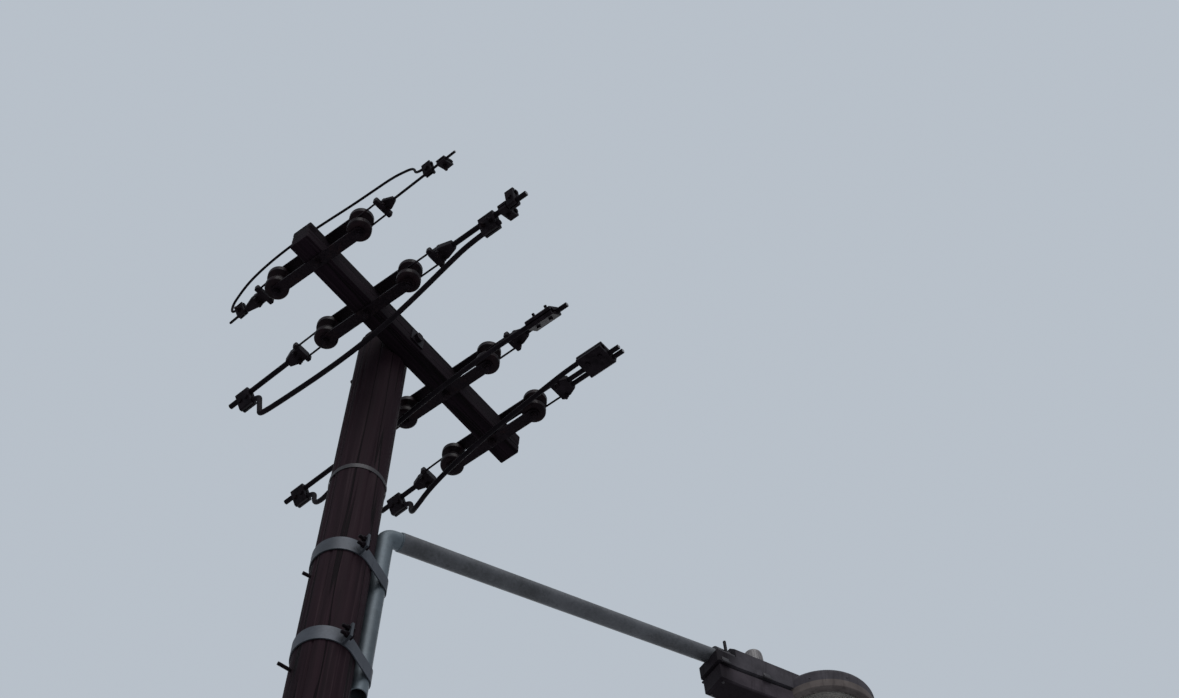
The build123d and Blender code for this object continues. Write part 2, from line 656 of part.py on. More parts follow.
def canopy_cavity():
    """Space for the lamp: upright up to the rim's height, then sloping in to a flat roof."""
    radius = LANTERN_RADIUS - RING_WIDTH
    low = LANTERN_SEAM - RING_HEIGHT
    rim = LANTERN_SEAM + CANOPY_RIM
    roof = LANTERN_SEAM + CAVITY_RISE
    profile = make_face(Polyline(
        (0, low), (radius, low), (radius, rim), (CAVITY_TOP_RADIUS, roof), (0, roof), close=True,
    ))
    return Pos(LANTERN_AHEAD, 0, 0) * revolve(Plane.XZ * profile, Axis.Z)


def lantern_housing():
    """Upper casing: shelf for the bracket's tip, hood and hollow round canopy."""
    deep = HOOD_BACK - SHELF_BACK
    shelf = Box(deep, 2 * HOUSING_BACK_HALF, SHELF_TOP - LANTERN_SEAM)
    shelf = chamfer(shelf.edges().filter_by(Axis.Z).group_by(Axis.X)[0], SHELF_CHAMFER)
    body = Pos(SHELF_BACK + deep / 2, 0, (LANTERN_SEAM + SHELF_TOP) / 2) * shelf
    back = hood_section(HOOD_BACK, HOUSING_BACK_HALF, HOOD_BACK_SHOULDER)
    front = hood_section(HOOD_FRONT, HOUSING_FRONT_HALF, HOOD_FRONT_SHOULDER)
    body += loft([back, front])
    body += canopy()
    body -= canopy_cavity()
    body -= pipe_bore()
    for y in (-SADDLE_BOLT_OUT, SADDLE_BOLT_OUT):
        body -= Pos(0, y, SHELF_TOP) * drilled(SADDLE_BOLT_RADIUS, 2 * SADDLE_STUD_DEPTH)
    return body


def saddle():
    """Saddle that clamps the bracket's tip down on the shelf."""
    outside = arm_radius(SADDLE_ALONG) + SADDLE_THICK
    keep = Pos(0, SHELF_TOP + outside) * Rectangle(2 * outside, 2 * outside)
    feet = Pos(0, SHELF_TOP + SADDLE_FOOT / 2) * Rectangle(2 * HOUSING_BACK_HALF, SADDLE_FOOT)
    solid = extrude((Circle(outside) & keep) + feet, SADDLE_WIDTH)
    solid = Plane(origin=(-SADDLE_WIDTH / 2, 0, 0), x_dir=(0, 1, 0), z_dir=(1, 0, 0)) * solid
    solid -= pipe_bore()
    for y in (-SADDLE_BOLT_OUT, SADDLE_BOLT_OUT):
        solid -= Pos(0, y, SHELF_TOP) * drilled(SADDLE_BOLT_RADIUS, 4 * SADDLE_FOOT)
    return solid


def saddle_bolts():
    studs = []
    for y in (-SADDLE_BOLT_OUT, SADDLE_BOLT_OUT):
        rod = Cylinder(SADDLE_BOLT_RADIUS, SADDLE_STUD)
        nut = extrude(hexagon(BOLT_FLATS * SADDLE_BOLT_RADIUS), BOLT_NUT * SADDLE_BOLT_RADIUS)
        base = SHELF_TOP + SADDLE_FOOT
        foot = SHELF_TOP - SADDLE_STUD_DEPTH
        studs.append(Pos(0, y, 0) * (Pos(0, 0, foot + SADDLE_STUD / 2) * rod + Pos(0, 0, base) * nut))
    return studs


def cover_plan(inset):
    """Plan of the lower casing, drawn in from the hood's walls, from its rear end to beside the ring."""
    rear = SHELF_BACK + inset
    front = LANTERN_AHEAD - GEAR_COVER_TO_AXIS
    share = (front - HOOD_BACK) / (HOOD_FRONT - HOOD_BACK)
    wide = HOUSING_BACK_HALF + share * (HOUSING_FRONT_HALF - HOUSING_BACK_HALF) - inset
    narrow = HOUSING_BACK_HALF - inset
    return make_face(Polyline(
        (rear, -narrow), (HOOD_BACK, -narrow), (front, -wide), (front, wide), (HOOD_BACK, narrow),
        (rear, narrow), close=True,
    ))


def gear_cover():
    """Lower casing that hangs under the shelf and hood by a narrower neck, hollowed round the lamp ring."""
    low = LANTERN_SEAM - GEAR_COVER_DEPTH
    neck = extrude(cover_plan(GEAR_NECK_INSET), GEAR_NECK_HEIGHT)
    pan = extrude(cover_plan(GEAR_COVER_INSET), GEAR_COVER_DEPTH - GEAR_NECK_HEIGHT)
    pan = chamfer(pan.edges().group_by(Axis.Z)[0], GEAR_COVER_CORNER)
    body = Pos(0, 0, low) * pan + Pos(0, 0, LANTERN_SEAM - GEAR_NECK_HEIGHT) * neck
    ring_space = Cylinder(LANTERN_RADIUS + COVER_PLAY, 4 * GEAR_COVER_DEPTH)
    return body - Pos(LANTERN_AHEAD, 0, LANTERN_SEAM) * ring_space


def lamp_ring():
    ring = Cylinder(LANTERN_RADIUS, RING_HEIGHT) - Cylinder(LANTERN_RADIUS - RING_WIDTH, 2 * RING_HEIGHT)
    outer = ring.edges().filter_by(GeomType.CIRCLE).group_by(Axis.Z)[0].sort_by(SortBy.RADIUS)[-1]
    ring = fillet(outer, RING_ROUNDING)
    return Pos(LANTERN_AHEAD, 0, LANTERN_SEAM - RING_HEIGHT / 2) * ring


def cap_arc(radius, centre_height, rim_height):
    """Arc of a spherical cap's profile, from its lowest point out to its rim."""
    swing = acos((centre_height - rim_height) / radius)
    ends = [(radius * sin(a), centre_height - radius * cos(a)) for a in (0, swing / 2, swing)]
    return ThreePointArc(*ends)


def bowl():
    """Clear bowl: a short collar inside the ring and a spherical cap under it."""
    rim = LANTERN_RADIUS - RING_WIDTH - FIT_PLAY
    collar = LANTERN_SEAM - RING_HEIGHT
    depth = BOWL_DEPTH - RING_HEIGHT
    sphere = (rim ** 2 + depth ** 2) / (2 * depth)
    centre = collar - depth + sphere
    outside = cap_arc(sphere, centre, collar)
    inside = cap_arc(sphere - BOWL_WALL, centre, collar)
    shell = make_face([
        outside,
        Line(outside @ 1, (rim, LANTERN_SEAM)),
        Line((rim, LANTERN_SEAM), (inside.position_at(1).X, LANTERN_SEAM)),
        Line((inside.position_at(1).X, LANTERN_SEAM), inside @ 1),
        inside,
        Line(inside @ 0, outside @ 0),
    ])
    return Pos(LANTERN_AHEAD, 0, 0) * revolve(Plane.XZ * shell, Axis.Z)


def reflector():
    """Spun reflector that stands on the bowl's collar, with a hole behind for the lampholder."""
    rim = LANTERN_RADIUS - RING_WIDTH - FIT_PLAY
    top = LANTERN_SEAM + REFLECTOR_RISE
    bulge = Vector((rim + REFLECTOR_TOP_RADIUS) / 2 + REFLECTOR_BULGE, LANTERN_SEAM + REFLECTOR_RISE / 2)
    bulge += Vector(0, REFLECTOR_BULGE)
    inset = Vector(-REFLECTOR_FLANGE, 0)
    drop = Vector(0, -REFLECTOR_WALL)
    foot = Vector(rim, LANTERN_SEAM)
    corner = Vector(REFLECTOR_TOP_RADIUS, top)
    centre = Vector(0, top)
    profile = make_face([
        Line(foot, foot + inset),
        ThreePointArc(foot + inset, bulge + drop - (REFLECTOR_WALL, 0), corner + drop),
        Line(corner + drop, centre + drop),
        Line(centre + drop, centre),
        Line(centre, corner),
        ThreePointArc(corner, bulge, foot),
    ])
    dish = Pos(LANTERN_AHEAD, 0, 0) * revolve(Plane.XZ * profile, Axis.Z)
    return dish - lamp_axis_cylinder(HOLDER_RADIUS + HOLE_PLAY, -2 * holder_length(), 0)


def holder_length():
    """From the canopy's inner wall behind to the lampholder's mouth."""
    return sqrt((LANTERN_RADIUS - RING_WIDTH) ** 2 - HOLDER_RADIUS ** 2) - HOLDER_TO_AXIS - FIT_PLAY


def lamp_place():
    """Middle of the lampholder's mouth."""
    return Pos(LANTERN_AHEAD - HOLDER_TO_AXIS, 0, LANTERN_SEAM + LAMP_HEIGHT)


def lamp_axis_cylinder(radius, start, end):
    """Cylinder along the lamp, between two distances ahead of the lampholder's mouth."""
    return lamp_place() * Pos((start + end) / 2, 0, 0) * Cylinder(radius, end - start, rotation=(0, 90, 0))


def lampholder():
    body = lamp_axis_cylinder(HOLDER_RADIUS, -holder_length(), 0)
    return body - lamp_axis_cylinder(LAMP_CAP_RADIUS + FIT_PLAY, -LAMP_CAP_DEPTH, HOLE_PLAY)


def lamp():
    """Elliptical lamp with its cap screwed into the lampholder."""
    half = LAMP_LENGTH / 2
    bulb = make_face([EllipticalCenterArc((0, 0), half, LAMP_RADIUS, start_angle=0, arc_size=180),
                      Line((-half, 0), (half, 0))])
    body = lamp_place() * Pos(half + HOLE_PLAY, 0, 0) * revolve(Plane.XZ * bulb, Axis.X)
    return body + lamp_axis_cylinder(LAMP_CAP_RADIUS, -LAMP_CAP_DEPTH, LAMP_NECK)


def photocell():
    """Light sensor's cap on the hood's crown."""
    fall = (HOOD_BACK_SHOULDER - HOOD_FRONT_SHOULDER) / (HOOD_FRONT - HOOD_BACK)
    height = HOOD_BACK_SHOULDER + HOOD_CROWN - (PHOTOCELL_AHEAD - HOOD_BACK) * fall
    cap = Pos(0, 0, PHOTOCELL_HEIGHT / 2) * Cone(PHOTOCELL_RADIUS, PHOTOCELL_TOP_RADIUS, PHOTOCELL_HEIGHT)
    cap = fillet(cap.edges().group_by(Axis.Z)[-1], PHOTOCELL_ROUNDING)
    return Pos(PHOTOCELL_AHEAD, 0, height) * Rot(0, degrees(atan2(fall, 1)), 0) * cap


def on_lines(make):
    """One part of every line, each in its line's own frame."""
    shapes = []
    for side, lines in ((-1, FRONT_LINES), (1, BACK_LINES)):
        for x, lean, line in zip(SET_X, LINE_LEANS, lines):
            made = make(line)
            made = made if isinstance(made, list) else [made]
            shapes += [line_plane(x, lean, side).location * piece for piece in made]
    return shapes


def on_connectors(make):
    return on_lines(lambda line: [piece for place in line["connectors"] for piece in make(line, *place)])


solids = {}
solids["pole"] = [pole()]
solids["crossarm"] = [crossarm()]
solids["crossarm_bolt"] = [king_bolt()]
for number, x in enumerate(SET_X, 1):
    solids[f"shackle_straps_{number}"] = strap_pair(x)
    solids[f"insulator_front_{number}"] = [spool(x, -1)]
    solids[f"insulator_back_{number}"] = [spool(x, 1)]
solids["strap_bolts"] = set_bolts((0,))
solids["insulator_bolts"] = set_bolts((-SPOOL_REACH, SPOOL_REACH))
solids["bails"] = on_lines(bail)
clamps = on_lines(dead_end_clamp)
for number in range(4):
    solids[f"dead_end_clamp_front_{number + 1}"] = [clamps[number]]
    solids[f"dead_end_clamp_back_{number + 1}"] = [clamps[number + 4]]
solids["clamp_bolts"] = on_lines(clamp_bolts)
solids["conductor_ends"] = on_lines(conductors)
solids["connector_jaws"] = on_connectors(jaws)
solids["connector_bolts"] = on_connectors(jaw_bolts)
for number in range(4):
    solids[f"jumper_{number + 1}"] = [jumper(number)]
solids["bracket_tail"] = [bracket_tail()]
solids["bracket_arm"] = [bracket_arm()]
for name, drop in (("upper", BAND_UPPER_DROP), ("lower", BAND_LOWER_DROP)):
    pole_band, pipe_strap = band_pieces(drop)
    solids[f"pole_band_{name}"] = [pole_band]
    solids[f"pipe_strap_{name}"] = [pipe_strap]
solids["band_bolts"] = band_bolts()
solids["thin_strap"] = [thin_strap()]
solids["pole_pegs"] = pegs()
solids["lantern_housing"] = [lantern_part(lantern_housing())]
solids["lantern_saddle"] = [lantern_part(saddle())]
solids["lantern_saddle_studs"] = [lantern_part(stud) for stud in saddle_bolts()]
solids["lantern_gear_cover"] = [lantern_part(gear_cover())]
solids["lantern_ring"] = [lantern_part(lamp_ring())]
solids["lantern_bowl"] = [lantern_part(bowl())]
solids["lantern_photocell"] = [lantern_part(photocell())]
solids["lantern_reflector"] = [lantern_part(reflector())]
solids["lampholder"] = [lantern_part(lampholder())]
solids["lamp"] = [lantern_part(lamp())]

os.makedirs("parts", exist_ok=True)
for name, pieces in solids.items():
    shape = pieces[0] if len(pieces) == 1 else Compound(children=pieces)
    shape.label = name
    export_step(shape, f"parts/{name}.step")
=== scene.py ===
"""Looks of the timber utility pole: finishes for every piece, turned insulators, timber, threads and cables.

Metres. The origin is the middle of the pole at ground level and +Z is up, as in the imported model.
"""

from math import acos, atan, cos, degrees, pi, radians, sin, sqrt
from random import Random

import bmesh
import bpy
from mathutils import Matrix, Vector, noise


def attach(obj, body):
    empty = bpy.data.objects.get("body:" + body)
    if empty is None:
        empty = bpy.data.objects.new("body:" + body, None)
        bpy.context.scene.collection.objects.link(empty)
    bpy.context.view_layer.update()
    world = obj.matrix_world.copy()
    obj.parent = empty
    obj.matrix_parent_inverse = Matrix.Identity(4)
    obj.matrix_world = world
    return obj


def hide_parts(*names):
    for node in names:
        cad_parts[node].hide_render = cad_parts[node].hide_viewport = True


# Pole and crossarm
POLE_HEIGHT = 9.5
POLE_TOP_RADIUS = 0.0895
POLE_TAPER = 0.004
POLE_TOP_ROUNDING = 0.045
ARM_LENGTH = 1.114
ARM_DEPTH = 0.080
ARM_HEIGHT = 0.098
ARM_Z = 9.380
ARM_NOTCH = 0.0094
ARM_BACK = -(POLE_TOP_RADIUS + POLE_TAPER * (POLE_HEIGHT - ARM_Z) - ARM_NOTCH)
ARM_Y = ARM_BACK - ARM_DEPTH / 2

# Shackle sets and lines
SET_X = (-0.461, -0.209, 0.209, 0.461)
SPOOL_REACH = 0.188
STRAP_THICKNESS = 0.006
LINE_SLOPE = 0.05
LINE_LEANS = (0.06, 0.029, 0.029, 0.029)

# Spool insulators
SPOOL_RADIUS = 0.0425
SPOOL_WAIST = 0.023
SPOOL_FACE = 0.026
SPOOL_LIP = 0.011
SPOOL_BEAD = 0.0045
SPOOL_BEAD_HEIGHT = 0.0245
SPOOL_THROAT = 0.0085
SPOOL_BORE_PLAY = 0.0005
SPOOL_SIDES = 56

# Bolts: radii, how far the threaded tails stand out of their nuts, and a nut's height for its bolt's radius
SET_BOLT = 0.008
KING_BOLT = 0.010
SMALL_BOLT = 0.005
BAND_BOLT = 0.006
BOLT_TAIL = 0.014
JAW_BOLT_TAIL = 0.012
BOLT_NUT = 1.6
KING_WASHER = 0.060
KING_WASHER_THICKNESS = 0.005
THREAD_DEPTH = 0.0007
THREAD_PITCH = 0.002
THREAD_TIP = 0.001
THREAD_TIP_BEVEL = 0.002
THREAD_SIDES = 14

# Dead-end clamps and connectors, as in the part's source. Each row of GRIPS is one line, on the side -1 in
# front or 1 behind: the conductor's radius, the outer conductor's offset, where the clamp's bolts sit, and
# the connectors' middles, lengths and rolls
CLAMP_WALL = 0.005
CLAMP_WEB = 0.0015
JAW_BACK = 0.007
JAW_WEB = 0.003
LONG_JAW = 0.050
GRIPS = (
    (-1, (
        (0.0045, 0.0, 0.1228, ((0.324, 0.034, 115), (0.386, 0.034, 25))),
        (0.0095, 0.0, 0.1488, ((0.363, 0.064, -60), (0.436, 0.034, 20), (0.474, 0.034, 110))),
        (0.0090, 0.0, 0.1336, ((0.265, 0.110, -135),)),
        (0.0090, 0.011, 0.1296, ((0.300, 0.110, 180),)),
    )),
    (1, (
        (0.0045, 0.0, 0.0984, ((0.178, 0.034, 60),)),
        (0.0095, 0.0, 0.1416, ((0.399, 0.056, -120),)),
        (0.0090, 0.0, 0.1416, ((0.520, 0.056, -120),)),
        (0.0090, 0.0, 0.1336, ((0.276, 0.056, -120),)),
    )),
)

# Conductors past the last fitting: distance from the spool to the cut end, radius, side-by-side offsets
LINE_ENDS = (
    (-1, (
        (0.445, 0.0045, (0.0,)),
        (0.533, 0.0095, (0.0,)),
        (0.362, 0.0090, (0.0,)),
        (0.397, 0.0090, (-0.011, 0.011)),
    )),
    (1, (
        (0.237, 0.0045, (0.0,)),
        (0.469, 0.0095, (0.0,)),
        (0.590, 0.0090, (0.0,)),
        (0.346, 0.0090, (0.0,)),
    )),
)
STRAND_SHARE = 0.24
STRAND_GAP = 0.97
STRAND_SUNK = 0.001
STRAND_EDGE = 0.0022
STRAND_TIP = 0.003
STRAND_SIDES = 12

# Jumper routes, as in the part's source: radius, length, then x, y and height above the arm's middle in mm
JUMPERS = (
    (0.0045, 1.12, (
        (-492.3, -654, 5.4), (-487.8, -579.3, 9.1), (-484, -558, 86), (-486, -520, 104), (-490, -460, 116),
        (-493, -370, 112), (-496, -275, 110), (-499, -165, 117), (-500, -55, 124), (-499, 45, 121),
        (-495, 130, 113), (-487, 200, 104), (-475, 252, 94), (-464, 296, 71), (-460.3, 288.6, 10.7),
        (-463.8, 228.8, 13.6),
    )),
    (0.0095, 1.34, (
        (-203.2, -711.9, -50.5), (-199.4, -582.1, -44), (-194, -480, -76), (-191, -385, -118),
        (-189, -285, -161), (-187, -172, -197), (-186, -45, -217), (-186, 85, -224), (-186, 200, -221),
        (-184.5, 292, -213), (-183.5, 344, -206), (-183, 375, -195), (-182.8, 380, -164),
        (-182.3, 390, -118), (-181.8, 402.8, -47.1), (-179.2, 491.7, -51.6),
    )),
    (0.0090, 1.30, (
        (177.2, -576.2, -37.5), (180.3, -467.4, -32), (166, -385, -62), (152, -300, -96), (145, -190, -128),
        (143, -70, -154), (148, 60, -176), (161, 190, -194), (182, 310, -204), (206, 395, -205),
        (224, 458, -188), (236, 510, -145), (239.1, 519.7, -52.1), (241.8, 612.5, -56.8),
    )),
    (0.0090, 1.09, (
        (407.3, -606.8, -15), (410.2, -507, -10), (404, -420, -42), (398, -315, -80), (396, -200, -112),
        (400, -85, -138), (408, 30, -160), (425, 130, -176), (451, 208, -181), (477, 264, -150),
        (484, 276.1, -40), (486.7, 368, -44.5),
    )),
)

# Bracket and its bands. An ear's bolts sit at a share of its length
BRACKET_TURN = -17.5
BRACKET_RISE = 13.6
TAIL_RADIUS = 0.030
ELBOW_DROP = 0.914
ELBOW_CORNER = 0.12708
ARM_ROOT = 0.0551
WELD_SIZE = 0.0034
WELD_BACK = 0.0012
WELD_SUNK = 0.0005
WELD_RIPPLE = 0.0007
WELD_RIPPLE_SCALE = 260
WELD_SEED = 3.0
WELD_SIDES = 72
BAND_DROPS = (1.174, 1.615)
BAND_HEIGHT = 0.060
BAND_THICKNESS = 0.004
BAND_EAR_ANGLE = 84.5
BAND_EAR_LENGTH = 0.046
BAND_EAR_BOLTS = 0.6
BAND_BOLT_SPACING = 0.030
BAND_PLAY = 0.0003

# Lantern, as in the part's source. Its own frame has its origin on the arm's axis in the saddle, x ahead
# along the lantern and z up
SADDLE_ALONG = 1.340
SADDLE_FOOT = 0.006
SADDLE_BOLT_OUT = 0.044
SADDLE_STUD_TOP = 0.045
SHELF_TOP = -0.026
LANTERN_DROOP = 5.0
LANTERN_AHEAD = 0.437
LANTERN_RADIUS = 0.190
LANTERN_SEAM = -0.075
HOOD_BACK = 0.032
HOOD_FRONT = 0.300
HOOD_BACK_SHOULDER = 0.014
HOOD_FRONT_SHOULDER = 0.003
HOOD_CROWN = 0.026
HOUSING_BACK_HALF = 0.055
HOUSING_FRONT_HALF = 0.072
GEAR_COVER_DEPTH = 0.084
GEAR_COVER_CORNER = 0.009
RING_HEIGHT = 0.034
RING_WIDTH = 0.025
BOWL_DEPTH = 0.125
BOWL_WALL = 0.005
BOWL_PLAY = 0.0002
BOWL_RINGS = 28
BOWL_SIDES = 112
PHOTOCELL_AHEAD = 0.160
PHOTOCELL_RADIUS = 0.035
PHOTOCELL_TOP_RADIUS = 0.031
PHOTOCELL_HEIGHT = 0.070

# Lantern trim: sizes of the plates, radius and height of the screws, and the places of both ahead, across and
# up from the ring's front or the seam. The sensor's collar is an outline of distances and heights
LATCH_PLATE = (0.0025, 0.026, 0.046)
LATCH_PLATE_PLACE = (0.0012, 0.0, -0.004)
LATCH_LIP = (0.008, 0.018, 0.007)
LATCH_LIP_PLACE = (0.004, 0.0, -0.024)
LATCH_SCREW = (0.0028, 0.002)
LATCH_SCREW_PLACE = (0.0025, 0.009, 0.010)
SCREW_ROUNDING = 0.7
SCREW_SUNK = 0.001
SCREW_SIDES = 20
HINGES_AHEAD = (-0.020, 0.150)
HINGE_PLATE = (0.030, 0.003, 0.024)
HINGE_OUT = 0.001
HINGE_UP = 0.006
PIN_RADIUS = 0.0045
PIN_LENGTH = 0.034
PIN_OUT = 0.004
PIN_DOWN = 0.004
PIN_SIDES = 16
COVER_SCREWS_AHEAD = (-0.028, 0.205)
COVER_SCREWS_OUT = 0.034
COVER_SCREW = (0.005, 0.003)
RIM_SCREW_ANGLES = (-140, -100, -60, -20, 20, 60, 100, 140)
RIM_SCREWS_UP = 0.016
RIM_SCREW = (0.0032, 0.002)
SENSOR_COLLAR = (
    (0.030, 0.0), (0.0368, 0.0), (0.0372, 0.002), (0.0365, 0.0065), (0.030, 0.0065), (0.030, 0.0),
)
SENSOR_SIDES = 48
SENSOR_RIBS = 24
SENSOR_RIB = (0.0022, 0.0022, 0.046)
SENSOR_RIB_ROUNDING = 0.0006
SENSOR_RIB_OUT = 0.0331
SENSOR_RIB_UP = 0.034

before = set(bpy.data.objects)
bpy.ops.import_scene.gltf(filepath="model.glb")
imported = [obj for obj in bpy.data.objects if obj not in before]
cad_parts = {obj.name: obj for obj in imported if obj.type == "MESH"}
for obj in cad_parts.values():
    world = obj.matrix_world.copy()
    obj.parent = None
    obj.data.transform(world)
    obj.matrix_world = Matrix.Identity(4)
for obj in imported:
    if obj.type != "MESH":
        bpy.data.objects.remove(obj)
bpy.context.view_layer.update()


# Places
def pole_radius(z):
    return POLE_TOP_RADIUS + POLE_TAPER * (POLE_HEIGHT - z)


def move(x=0.0, y=0.0, z=0.0):
    return Matrix.Translation((x, y, z))


def rotate(angle, axis):
    return Matrix.Rotation(radians(angle), 4, axis)


def line_place(x, lean, side):
    """Frame of one line: X out along the conductor, Z up, from the spool's middle."""
    out = Vector((side * lean, side, -LINE_SLOPE)).normalized()
    across = Vector((0, 0, 1)).cross(out).normalized()
    facing = Matrix((out, across, out.cross(across))).transposed().to_4x4()
    return move(x, ARM_Y + side * SPOOL_REACH, ARM_Z) @ facing


def bracket_place():
    """Frame in the bracket's upright plane: X out from the pole's middle, at the arm's height."""
    return move(z=ARM_Z) @ rotate(BRACKET_TURN, "Z")


def arm_place():
    """Frame on the elbow's corner: X along the rising arm."""
    return bracket_place() @ move(ELBOW_CORNER, 0, -ELBOW_DROP) @ rotate(-BRACKET_RISE, "Y")


def lantern_place():
    return arm_place() @ move(SADDLE_ALONG) @ rotate(LANTERN_DROOP, "Y")


def add_object(name, data):
    made = bpy.data.objects.new(name, data)
    bpy.context.scene.collection.objects.link(made)
    return made


# Camera
CAMERA_PLACE = (-3.2824, -3.9912, 1.600)
CAMERA_TURN = 47.4
CAMERA_RISE = 57.3
CAMERA_ROLL = 4.4
CAMERA_SENSOR = 36.0
CAMERA_LENS = 81.74


def photo_camera():
    """Camera at the photograph's place on the ground, looking steeply up."""
    data = bpy.data.cameras.new("photo_camera")
    data.sensor_width = CAMERA_SENSOR
    data.lens = CAMERA_LENS
    data.clip_start = 0.1
    data.clip_end = 200.0
    camera = add_object("photo_camera", data)
    turn, rise, roll = (radians(a) for a in (CAMERA_TURN, CAMERA_RISE, CAMERA_ROLL))
    ahead = Vector((sin(turn) * cos(rise), cos(turn) * cos(rise), sin(rise)))
    level = ahead.cross(Vector((0, 0, 1))).normalized()
    above = level.cross(ahead)
    right = level * cos(roll) + above * sin(roll)
    up = above * cos(roll) - level * sin(roll)
    facing = Matrix((right, up, -ahead)).transposed().to_4x4()
    camera.matrix_world = move(*CAMERA_PLACE) @ facing
    bpy.context.scene.camera = camera


# Materials
class Socket:
    """A socket of a node tree. Python's operators on it add Math nodes, and node() adds any other kind."""

    def __init__(self, tree, socket=None):
        self.tree = tree
        self.socket = socket

    def node(self, kind, settings=None, inputs=None, out=0):
        made = self.tree.nodes.new("ShaderNode" + kind)
        for name, value in (settings or {}).items():
            setattr(made, name, value)
        for key, value in (inputs or {}).items():
            if isinstance(value, Socket):
                self.tree.links.new(value.socket, made.inputs[key])
            else:
                made.inputs[key].default_value = value
        return Socket(self.tree, made.outputs[out]) if made.outputs else None

    def math(self, operation, *values):
        return self.node("Math", {"operation": operation}, dict(enumerate(values)))

    def __add__(self, other):
        return self.math("ADD", self, other)

    def __radd__(self, other):
        return self.math("ADD", other, self)

    def __sub__(self, other):
        return self.math("SUBTRACT", self, other)

    def __rsub__(self, other):
        return self.math("SUBTRACT", other, self)

    def __mul__(self, other):
        return self.math("MULTIPLY", self, other)

    def __rmul__(self, other):
        return self.math("MULTIPLY", other, self)

    def __abs__(self):
        return self.math("ABSOLUTE", self)

    def step(self, low, high):
        """0 below low, 1 above high and smooth between them."""
        limits = {"Value": self, "From Min": low, "From Max": high}
        return self.node("MapRange", {"interpolation_type": "SMOOTHSTEP"}, limits)

    def mix(self, low, high):
        """Blend of two colours, with this socket as the factor."""
        # The Mix node takes its colours at inputs 6 and 7 and gives the blend at output 2
        ends = {
            key: value if isinstance(value, Socket) else (*value, 1.0) for key, value in ((6, low), (7, high))
        }
        return self.node("Mix", {"data_type": "RGBA"}, {0: self, **ends}, out=2)

    def stretched(self, stretch):
        """These coordinates, with a pattern drawn out along each axis that has a small share."""
        return self.node("Mapping", None, {"Vector": self, "Scale": stretch})

    def noise(self, scale, detail=4.0, rough=0.55, stretch=(1.0, 1.0, 1.0)):
        inputs = {"Vector": self.stretched(stretch), "Scale": scale, "Detail": detail, "Roughness": rough}
        return self.node("TexNoise", None, inputs)

    def cells(self, scale, out="Distance", stretch=(1.0, 1.0, 1.0)):
        return self.node("TexVoronoi", None, {"Vector": self.stretched(stretch), "Scale": scale}, out=out)

    def part(self, axis):
        return self.node("SeparateXYZ", None, {"Vector": self}, out=axis)


def new_finish(name):
    """An empty material, and the Object coordinates that its patterns start from."""
    material = bpy.data.materials.new(name)
    material.use_nodes = True
    material.node_tree.nodes.clear()
    return material, Socket(material.node_tree).node("TexCoord", out="Object")


def surface(place, colour, roughness, metallic=0.0, height=None, relief=0.001, coat=0.0, **constants):
    """Principled surface with a bump from the height pattern, wired to the material's output."""
    inputs = {"Base Color": colour if isinstance(colour, Socket) else (*colour, 1.0)}
    inputs["Roughness"] = roughness
    inputs["Metallic"] = metallic
    inputs["Coat Weight"] = coat
    inputs.update(constants)
    if height is not None:
        inputs["Normal"] = place.node("Bump", None, {"Strength": 1.0, "Distance": relief, "Height": height})
    shader = place.node("BsdfPrincipled", None, inputs)
    place.node("OutputMaterial", None, {"Surface": shader})


# Timber finishes. DULL keeps weathered surfaces from shining against the pale background
DULL = {"Specular IOR Level": 0.06}


def pole_timber():
    """Old treated softwood: dark brown with worn grain, open checks, drips of treatment and a darker top."""
    material, place = new_finish("pole_timber")
    fibre = place.noise(90.0, 6.0, 0.6, (1.0, 1.0, 0.016))
    grain = place.noise(26.0, 5.0, 0.55, (1.0, 1.0, 0.03))
    bands = place.noise(7.0, 4.0, 0.6, (1.0, 1.0, 0.08))
    blotch = place.noise(2.1, 3.0, 0.6, (1.0, 1.0, 0.45))
    split = 1.0 - abs(place.noise(16.0, 3.0, 0.5, (1.0, 1.0, 0.022)) - 0.5).step(0.004, 0.022)
    height = place.part("Z")
    drip = place.noise(30.0, 3.0, 0.5, (1.0, 1.0, 0.012)).step(0.56, 0.70) * blotch.step(0.42, 0.62)
    knot = 1.0 - place.cells(1.7, stretch=(1.0, 1.0, 0.4)).step(0.02, 0.055)
    worn = (grain * 0.55 + fibre * 0.45).step(0.34, 0.68)
    base = worn.mix((0.0066, 0.0030, 0.0050), (0.0184, 0.0088, 0.0132))
    base = bands.step(0.42, 0.66).mix(base, (0.0206, 0.0106, 0.0150))
    base = (fibre.step(0.55, 0.72) * 0.5).mix(base, (0.042, 0.028, 0.033))
    base = (drip * 0.75).mix(base, (0.0040, 0.0022, 0.0034))
    base = (height.step(7.6, 9.45) * 0.5).mix(base, (0.0062, 0.0030, 0.0050))
    base = ((1.0 - height.step(0.0, 0.9)) * 0.5).mix(base, (0.014, 0.012, 0.010))
    base = (knot * 0.7).mix(base, (0.0050, 0.0028, 0.0036))
    base = (split * 0.85).mix(base, (0.002, 0.0012, 0.0018))
    relief = fibre * 0.45 + grain * 0.55 - split * 1.2 - knot * 0.2
    rough = 0.68 + 0.2 * grain - 0.16 * drip
    surface(place, base, rough, height=relief, relief=0.003, **DULL)
    return material


